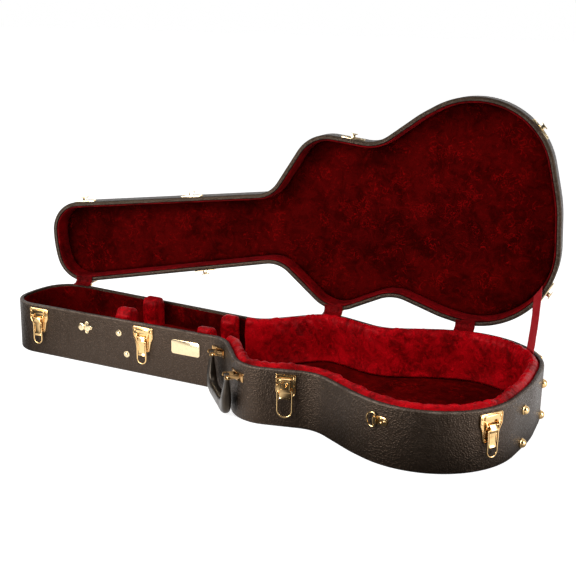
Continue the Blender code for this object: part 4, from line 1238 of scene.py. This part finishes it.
def lever_parts():
    """Pressed tongue with turned-in sides and a curled tip."""
    profile = [(-0.0028, -0.0180), (-0.0046, -0.0172), (-0.0064, -0.0180), (-0.0077, -0.0208),
               (-0.0089, -0.0240), (-0.0097, -0.0266), (-0.0092, -0.0290), (-0.0077, -0.0312),
               (-0.0072, -0.0400), (-0.0073, -0.0500), (-0.0080, -0.0535), (-0.0089, -0.0552),
               (-0.0080, -0.0562), (-0.0066, -0.0550), (-0.0059, -0.0525), (-0.0060, -0.0400),
               (-0.0060, -0.0312), (-0.0047, -0.0286), (-0.0036, -0.0250), (-0.0026, -0.0212)]
    flange = [(-0.0064, -0.0320), (-0.0078, -0.0330), (-0.0079, -0.0480), (-0.0064, -0.0495),
              (-0.0050, -0.0470), (-0.0050, -0.0330)]
    return [side_plate(profile, -0.0072, 0.0072, 0.00045), *cheeks(flange, 0.0058, 0.0072)]


def lock_lever_parts():
    """Box for the lock, with a raised rim, a ring round the key and a tongue below."""
    profile = [(-0.0024, -0.0092), (-0.0027, -0.0066), (-0.0046, -0.0054), (-0.0068, -0.0060),
               (-0.0088, -0.0072), (LOCK_FACE, -0.0095), (LOCK_FACE, -0.0262), (-0.0092, -0.0300),
               (-0.0080, -0.0318), (-0.0076, -0.0400), (-0.0086, -0.0424), (-0.0074, -0.0430),
               (-0.0060, -0.0405), (-0.0060, -0.0330), (-0.0048, -0.0315), (-0.0024, -0.0300)]
    bars = [box(-0.0095, -0.0255, -0.0078, -0.0085), box(0.0078, -0.0255, 0.0095, -0.0085),
            box(-0.0095, -0.0255, 0.0095, -0.0242), box(-0.0095, -0.0098, 0.0095, -0.0085)]
    ring = [(0.0052, -0.0004), (0.0054, 0.0002), (0.0050, 0.0007), (0.0045, 0.0007),
            (0.0043, 0.0002), (0.0043, -0.0012), (0.0052, -0.0004)]
    return [side_plate(profile, -0.0095, 0.0095, 0.0006),
            *(plate(bar, LOCK_FACE - 0.0009, -0.0085, 0.0004) for bar in bars),
            turned(ring, (0, LOCK_FACE, KEY_Z), 32)]


def loop_parts(axis, half_width, drop):
    """Wire loop with turned-in ends."""
    y, z = axis
    points = [(-0.0045, y, z), (-half_width + 0.0022, y, z), (-half_width + 0.0006, y, z - 0.0006),
              (-half_width, y, z - 0.0022)]
    bow = arc((0, z - drop + half_width), half_width, 180, 360, 20)
    points += [(a, y, b) for a, b in bow] + [(-x, q, w) for x, q, w in reversed(points)]
    return [tube(points, 0.0014)]


def catch_parts():
    """Plate on the lid with a hooked lip for the loop."""
    outline = [(-0.0225, 0.0110), (0.0225, 0.0110), (0.0225, 0.0220), (0.0190, 0.0265),
               (-0.0190, 0.0265), (-0.0225, 0.0220)]
    lip = [(-0.0075, 0.0128), (-0.0068, 0.0122), (0.0068, 0.0122), (0.0075, 0.0128),
           (0.0075, 0.0195), (0.0058, 0.0215), (-0.0058, 0.0215), (-0.0075, 0.0195)]
    ledge = box(-0.0096, 0.0122, -0.0008, 0.0150)
    return [*rimmed_plate(outline), side_plate(ledge, -0.0040, 0.0040, 0.0004),
            plate(lip, -0.0104, -0.0088), *rivet_pairs([(0.0155, 0.0175)])]


def make_latches():
    for number in LATCHES:
        lock = number == LOCKED_LATCH
        place = joint_frame(f"latch_lever_hinge_{number}", *(LOCK_PIN if lock else LATCH_PIN))
        hardware(f"latch_base_{number}", lock_plate_parts() if lock else latch_plate_parts(),
                 place, "base", [f"latch_plate_{number}"])
        hardware(f"latch_tongue_{number}", lock_lever_parts() if lock else lever_parts(),
                 place, f"lever_{number}", [f"latch_lever_{number}"])
        hardware(f"latch_loop_{number}", loop_parts(*(LOCK_LOOP if lock else LATCH_LOOP)),
                 place, f"bail_{number}", [f"latch_bail_{number}"])
        hardware(f"catch_hook_{number}", catch_parts(), LID @ place, "lid",
                 [f"lid_catch_{number}"], "gold_lit_copy")
        if lock:
            make_lock_plug(place)


def make_lock_plug(place):
    """Round plug in the lock; near-black pieces behind the escutcheon ring are painted shade in the
    keyhole and the gap round the plug.
    """
    root = (0, -0.0051, KEY_Z)
    plug = [(0.0026, 0), (0.0026, 0.0046), (0.0022, 0.0050), (0.0012, 0.0050),
            (0.0012, 0.0049), (0, 0.0049)]
    hardware("key_plug", [turned(plug, root)], place, "lock", ["lock_plug"])
    # Painted shade: near-black pieces for the gap round the plug and for the keyhole
    keyhole_shade_parts = [turned([(0.0040, 0), (0.0040, 0.0040), (0.0026, 0.0040)], root),
            turned([(0.0011, 0), (0.0011, 0.0002), (0, 0.0002)], (0, -0.01000, -0.0148), 20),
            plate(box(-0.0005, -0.0176, 0.0005, -0.0150), -0.01018, -0.0095, 0)]
    hardware("key_well_painted_shade", keyhole_shade_parts, place, "lock", [], "keyhole_painted_shade")


# Handle

HANDLE_HALF = math.dist((0.4856, -0.0235), (0.5575, -0.1245)) / 2       # between its two pins
HANDLE_LEG = 0.0075                 # half the width of a leg at its pin
HANDLE_SPLIT = (110, 28)            # stops along it and points round it
HANDLE_SQUARE = 0.78                # below 1, its section is squarer than an ellipse
HANDLE_INNER = (                    # (x, z) down the inside of a leg and along the grip
    (0.0015, 0.0043), (0.0056, 0.0036), (0.0075, 0.0012), (0.0075, -0.0105),
    (0.0086, -0.0210), (0.0105, -0.0300), (0.0127, -0.0376), (0.0165, -0.0430),
    (0.0220, -0.0468), (0.0295, -0.0485), (0.0450, -0.0488), (HANDLE_HALF, -0.0488),
)
HANDLE_OUTER = (
    (-0.0015, 0.0043), (-0.0056, 0.0036), (-0.0075, 0.0012), (-0.0075, -0.0105),
    (-0.0081, -0.0215), (-0.0085, -0.0320), (-0.0086, -0.0455), (-0.0080, -0.0580),
    (-0.0035, -0.0672), (0.0080, -0.0725), (0.0330, -0.0735), (HANDLE_HALF, -0.0735),
)


def make_handle():
    """Moulded grip: thin legs from its pins, swelling into a thick rounded bar."""
    half = HANDLE_HALF
    pairs = [(a[0] - half, a[1], b[0] - half, b[1]) for a, b in zip(HANDLE_INNER, HANDLE_OUTER)]
    pairs += [(-ax, az, -bx, bz) for ax, az, bx, bz in reversed(pairs[:-1])]
    along, around = HANDLE_SPLIT
    turn = np.arange(around) * math.tau / around
    across, deep = (np.sign(v) * np.abs(v) ** HANDLE_SQUARE for v in (np.cos(turn), np.sin(turn)))
    verts = []
    for ax, az, bx, bz in smooth_path(pairs, along):
        fullness = min(max((-0.008 - (az + bz) / 2) / 0.032, 0), 1)
        depth = 0.0042 + 0.00455 * fullness
        for u, v in zip(across, deep):
            verts.append(((ax + bx) / 2 + u * (bx - ax) / 2, v * depth - 0.00075 * fullness,
                          (az + bz) / 2 + u * (bz - az) / 2))
    place = joint_frame("handle_hinge", sign=-1)
    mesh = outward(mesh_from("handle_grip", verts, skin_faces(along, around, False, True)))
    piece("handle_grip", mesh, "black_plastic", "grip", ["handle"], matrix=place, smooth=50)
    pins = []
    for centre in (-half, half):
        reach = HANDLE_LEG + 0.0052
        pins.append(pin(0.0021, (centre - reach, 0, 0), (centre + reach, 0, 0)))
        for side in SIDES:
            x = centre + side * (HANDLE_LEG + 0.0036)
            pins.append(pin(0.0028, (x, 0, 0), (x + side * 0.0012, 0, 0)))
    hardware("handle_pins", pins, place, "grip", [])


# Small hardware

CRADLE_RIVET = [(0.0064, -0.0012), (0.0066, 0.0005), (0.0062, 0.0011), (0.0050, 0.0013),
                (0.0042, 0.0014), (0.0036, 0.0021), (0.0026, 0.0029), (0.0013, 0.0033),
                (0, 0.0034)]
BUTT_STUD = [(0.0082, -0.0012), (0.0085, 0.0004), (0.0085, 0.0014), (0.0078, 0.0020),
             (0.0074, 0.0034), (0.0066, 0.0052), (0.0052, 0.0069), (0.0030, 0.0081), (0, 0.0085)]
HINGE_RIVET = [(0.0024, -0.0003), (0.0024, 0.0003), (0.0018, 0.0009), (0.0008, 0.0012),
               (0, 0.0013)]


def soften_node(node, material, edge):
    """A CAD node whose shape is right: rounded edges and its finish."""
    item = NODES[node]
    item.data.materials.clear()
    item.data.materials.append(MATERIALS[material])
    weld = item.modifiers.new("weld", "WELD")
    weld.merge_threshold = 0.00002
    step = item.modifiers.new("rounded edges", "BEVEL")
    step.width = edge
    step.segments = 2
    step.limit_method = "ANGLE"
    step.angle_limit = math.radians(30)
    step.harden_normals = True
    item.data.shade_smooth()


def make_small_hardware():
    for side in ("left", "right"):
        soften_node(f"handle_bracket_{side}", "gold_shaded_copy", 0.0004)
    for number in HINGES:
        for leaf in ("base", "lid"):
            soften_node(f"hinge_{leaf}_leaf_{number}", "gold", 0.0003)
    for name, x, z in (("cradle_rivet_upper", 0.2694, 0.0758), ("cradle_rivet_lower", 0.2873, 0.0355)):
        hardware(f"{name}_head", [turned(CRADLE_RIVET, segments=32)],
                 FACET_PLAN.frame("front", x, z), "base", [name], "gold_lit_copy")
    corners = ((-0.070, 0.0720), (-0.070, 0.0138), (0.065, 0.0720), (0.065, 0.0138))
    for number, (y, z) in enumerate(corners, 1):
        hardware(f"butt_stud_{number}", [turned(BUTT_STUD, segments=36)],
                 FACET_PLAN.frame("butt", y, z), "base", [f"butt_foot_{number}"])
    make_badge()
    make_rosette()
    make_strap_loop()
    make_hinge_rivets()


def make_badge():
    """Bare plate with round corners."""
    half_x, half_z, corner = 0.031, 0.014, 0.005
    outline = []
    for quarter, (side_x, side_z) in enumerate(((1, 1), (-1, 1), (-1, -1), (1, -1))):
        centre = (side_x * (half_x - corner), side_z * (half_z - corner))
        outline += arc(centre, corner, 90 * quarter, 90 * quarter + 90, 8)
    hardware("bare_badge", [plate(outline, FACE, BACK)],
             FACET_PLAN.frame("front", 0.4210, 0.0705), "base", ["badge_plate"], "gold_lit_copy")


def make_rosette():
    """Three-lobed plate with a strap button."""
    boss = [(0.0078, -0.0010), (0.0080, 0.0012), (0.0074, 0.0019), (0.0030, 0.0024), (0, 0.0025)]
    button = [(0.0062, 0.0014), (0.0072, 0.0019), (0.0076, 0.0028), (0.0073, 0.0036),
              (0.0062, 0.0042), (0.0030, 0.0043), (0, 0.0041)]
    lobe = arc((0.0031, 0), 0.0011, 0, 360, 12)
    parts = [turned(boss, segments=32)]
    parts += [turned(lobe, (x, -0.0010, z), 24) for x, z in arc((0, 0), 0.0086, 90, -90, 2)]
    parts.append(pin(0.0035, (-0.0120, 0.0010, 0), (-0.0120, -0.0025, 0), 20))
    parts.append(turned(button, (-0.0120, 0, 0), 32))
    for x, z in ((0.0028, 0.0026), (0.0028, -0.0026), (-0.0022, 0.0030), (-0.0022, -0.0030)):
        parts.append(rivet(x, z, 0.0009, 0.0006, -0.0021))
    hardware("rosette_plate", parts, FACET_PLAN.frame("front", 0.1940, 0.0757), "base",
             ["strap_rosette"], "gold_lit_copy")


def make_strap_loop():
    """Riveted plate with a sleeve round the straight side of a ring."""
    place = FACET_PLAN.frame("front", 0.8480, 0.0757)
    ring_x, ring_y = -0.0050, -0.0046
    front = -0.0020
    outline = [(-0.0040, -0.0072), (0.0120, -0.0072), (0.0150, -0.0058), (0.0170, -0.0030),
               (0.0170, 0.0030), (0.0150, 0.0058), (0.0120, 0.0072), (-0.0040, 0.0072)]
    sleeve = [(0.0018, 0), (0.0018, 0.0124), (0.0031, 0.0124), (0.0034, 0.0121), (0.0034, 0.0003),
              (0.0031, 0), (0.0018, 0)]
    neck = box(ring_y + 0.0012, -0.0060, -0.0010, 0.0060)
    parts = [plate(outline, front, BACK), turned(sleeve, (ring_x, ring_y, -0.0062), 24, (0, 0, 1)),
             side_plate(neck, -0.0048, -0.0016)]
    for x, z, radius, height in ((0.0058, 0.0036, 0.0022, 0.0012), (0.0058, -0.0036, 0.0022, 0.0012),
                                 (0.0118, 0, 0.0026, 0.0014)):
        parts.append(rivet(x, z, radius, height, front))
    hardware("strap_plate", parts, place, "base", ["strap_loop_plate"])
    half, bow = 0.0118, 0.0099
    ring = [(ring_x, 0.0), (ring_x, half - 0.0012), (-0.0062, half)]
    for k in range(13):
        angle = math.radians(90 + 15 * k)
        ring.append((-0.0090 + bow * math.cos(angle), half * math.sin(angle)))
    ring += [(-0.0062, -half), (ring_x, -half + 0.0012)]
    hardware("strap_ring", [tube([(x, ring_y, z) for x, z in ring], 0.0016, closed=True)],
             place, "strap_ring", ["strap_loop_ring"])


def make_hinge_rivets():
    """Rivet heads on the leaves of the hinges, on the spine of the case."""
    for number in HINGES:
        low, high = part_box(f"hinge_base_leaf_{number}")
        base = Matrix.Translation(((low.x + high.x) / 2, HINGE.y, HINGE.z))
        y = low.y - HINGE.y + 0.0016
        for body, up, place in (("base", 1, base), ("lid", -1, LID @ base)):
            parts = [turned(HINGE_RIVET, (x, y, up * z), 18, (0, 1, 0))
                     for x, z in ((-0.0120, -0.0095), (0.0120, -0.0095), (0, -0.0180))]
            hardware(f"hinge_rivets_{body}_{number}", parts, place, body, [])


# Stage, light and camera

WHITE = (1, 1, 1, 1)
FLOOR_GLOW = 0.80
WORLD_FILL = 0.28
DIM_LEVEL = 0.03
GLOW_SPOT = (-0.24, -0.14, 0)       # middle of the floor that the neck's side mirrors
GLOW_REACH = (0.36, 0.25, 1)
SOFTBOXES = (                       # direction, where its edge starts and ends, level
    ((-0.72, -0.69, 0), 0.86, 0.97, 1.0),
    ((0.98, -0.20, 0), 0.80, 0.94, 0.9),
    ((0.0, 1.0, 0), 0.30, 0.70, 0.9),
)
LIGHTS = (                          # name, power, size, place
    ("key", 30.0, (1.1, 0.9), (-1.45, -1.45, 1.25)),
    ("side", 18.0, (0.9, 1.1), (2.2, -0.60, 1.2)),
    ("top", 14.0, (2.2, 1.6), (0.0, -0.1, 2.6)),
)
LOW_LIGHTS = (                      # without diffuse light, for the glints alone
    ("low_left", 11.0, (0.55, 0.60), (-0.62, -1.10, 0.30)),
    ("low_right", 10.0, (0.60, 0.75), (1.60, -0.25, 0.30)),
)


def make_studio_group():
    """What a mirror sees of the studio: white behind, a softbox at each side, dim in front."""
    group, t, start, end = new_group("studio_walls", [("Direction", "vector", None)],
                                     [("Level", "value")])
    flat = t.vector("NORMALIZE", t.vector("MULTIPLY", start.outputs["Direction"], (1, 1, 0)))
    level = None
    for toward, low, high, bright in SOFTBOXES:
        lobe = t.ramp(t.vector("DOT_PRODUCT", flat, toward), low, high, DIM_LEVEL, bright)
        level = lobe if level is None else t.math("MAXIMUM", level, lobe)
    t.link(level, end.inputs["Level"])
    return group


def stage_material(name, color):
    """Pale matt surface that stays pale behind the case; a mirror sees it dim in front."""
    material, t, shader, where = new_material(
        name, {"Roughness": 0.9, "Specular IOR Level": 0.1, "Emission Color": WHITE})
    rays = t.add("ShaderNodeLightPath")
    away = t.vector("LENGTH", t.vector("DIVIDE", t.vector("SUBTRACT", where, GLOW_SPOT),
                                       GLOW_REACH))
    beside = t.ramp(away, 0.70, 1.20, 1.0, DIM_LEVEL)
    split = t.add("ShaderNodeSeparateXYZ")
    t.link(where, split.inputs[0])
    right = t.ramp(split.outputs["X"], 0.49, 0.62, DIM_LEVEL, 1.0)
    behind = t.ramp(split.outputs["Y"], -0.02, 0.20, DIM_LEVEL, 1.0)
    level = t.math("MAXIMUM", beside, t.math("MAXIMUM", right, behind))
    glossy = rays.outputs["Is Glossy Ray"]
    dark = t.math("MULTIPLY", glossy, t.math("SUBTRACT", 1.0, level))
    t.link(t.mix(dark, color, (0, 0, 0, 1)), shader.inputs["Base Color"])
    seen = t.math("MAXIMUM", rays.outputs["Is Camera Ray"], t.math("MULTIPLY", glossy, level))
    t.link(t.math("MULTIPLY", seen, FLOOR_GLOW), shader.inputs["Emission Strength"])
    return material


def make_stage():
    z, reach = -0.0004, 30
    mesh = mesh_from("floor", [(x, y, z) for x, y in box(-reach, -reach, reach, reach)],
                     [(0, 1, 2, 3)])
    mesh.materials.append(stage_material("floor_paper", (0.80, 0.80, 0.80, 1)))
    linked("floor", mesh)


def make_world():
    world = bpy.data.worlds.new("studio")
    world.use_nodes = True
    bpy.context.scene.world = world
    t = Tree(world.node_tree)
    back = world.node_tree.nodes["Background"]
    rays = t.add("ShaderNodeLightPath")
    walls = t.add("ShaderNodeGroup", node_tree=make_studio_group())
    t.link(t.add("ShaderNodeTexCoord").outputs["Generated"], walls.inputs["Direction"])
    seen = t.math("MAXIMUM", rays.outputs["Is Camera Ray"], rays.outputs["Is Transmission Ray"])
    mirrored = t.math("MULTIPLY", rays.outputs["Is Glossy Ray"], walls.outputs["Level"])
    diffuse = t.math("MULTIPLY", rays.outputs["Is Diffuse Ray"], WORLD_FILL)
    t.link(t.math("MAXIMUM", t.math("MAXIMUM", seen, mirrored), diffuse), back.inputs["Strength"])
    back.inputs["Color"].default_value = WHITE


def area_light(name, power, size, place, target):
    light = bpy.data.lights.new(name, "AREA")
    light.shape = "RECTANGLE"
    light.size, light.size_y = size
    light.energy = power
    item = linked(name, light)
    item.location = place
    item.rotation_euler = (Vector(target) - Vector(place)).to_track_quat("-Z", "Y").to_euler()
    item.visible_camera = False
    return item


def make_lights():
    for row in LIGHTS:
        area_light(*row, (0.0, 0.05, 0.15))
    for row in LOW_LIGHTS:
        area_light(*row, (0.0, 0.0, 0.05)).visible_diffuse = False


def make_camera():
    """The view of the photograph, solved on the case's outline."""
    camera = bpy.data.cameras.new("camera")
    camera.lens = 62.10
    camera.sensor_width = 36.0
    camera.shift_x, camera.shift_y = 0.0020, 0.0020
    camera.clip_start, camera.clip_end = 0.01, 100
    around, above, roll = (math.radians(a) for a in (19.0206, 15.5250, 1.1831))
    back = Vector((math.sin(around) * math.cos(above), -math.cos(around) * math.cos(above),
                   math.sin(above)))
    right = Vector((0, 0, 1)).cross(back).normalized()
    up = back.cross(right)
    x = right * math.cos(roll) + up * math.sin(roll)
    y = up * math.cos(roll) - right * math.sin(roll)
    item = linked("camera", camera)
    item.matrix_world = (Matrix.Translation((0.63766, -1.61482, 0.68316))
                         @ Matrix((x, y, back)).transposed().to_4x4())
    bpy.context.scene.camera = item


def main():
    bpy.context.scene.view_settings.view_transform = "Standard"
    make_shells()
    make_body_padding()
    make_linings()
    make_pads()
    make_neck_supports()
    make_compartment_flap()
    make_hinge_covers()
    make_stay_ribbon()
    make_latches()
    make_handle()
    make_small_hardware()
    make_stage()
    make_world()
    make_lights()
    make_camera()


main()
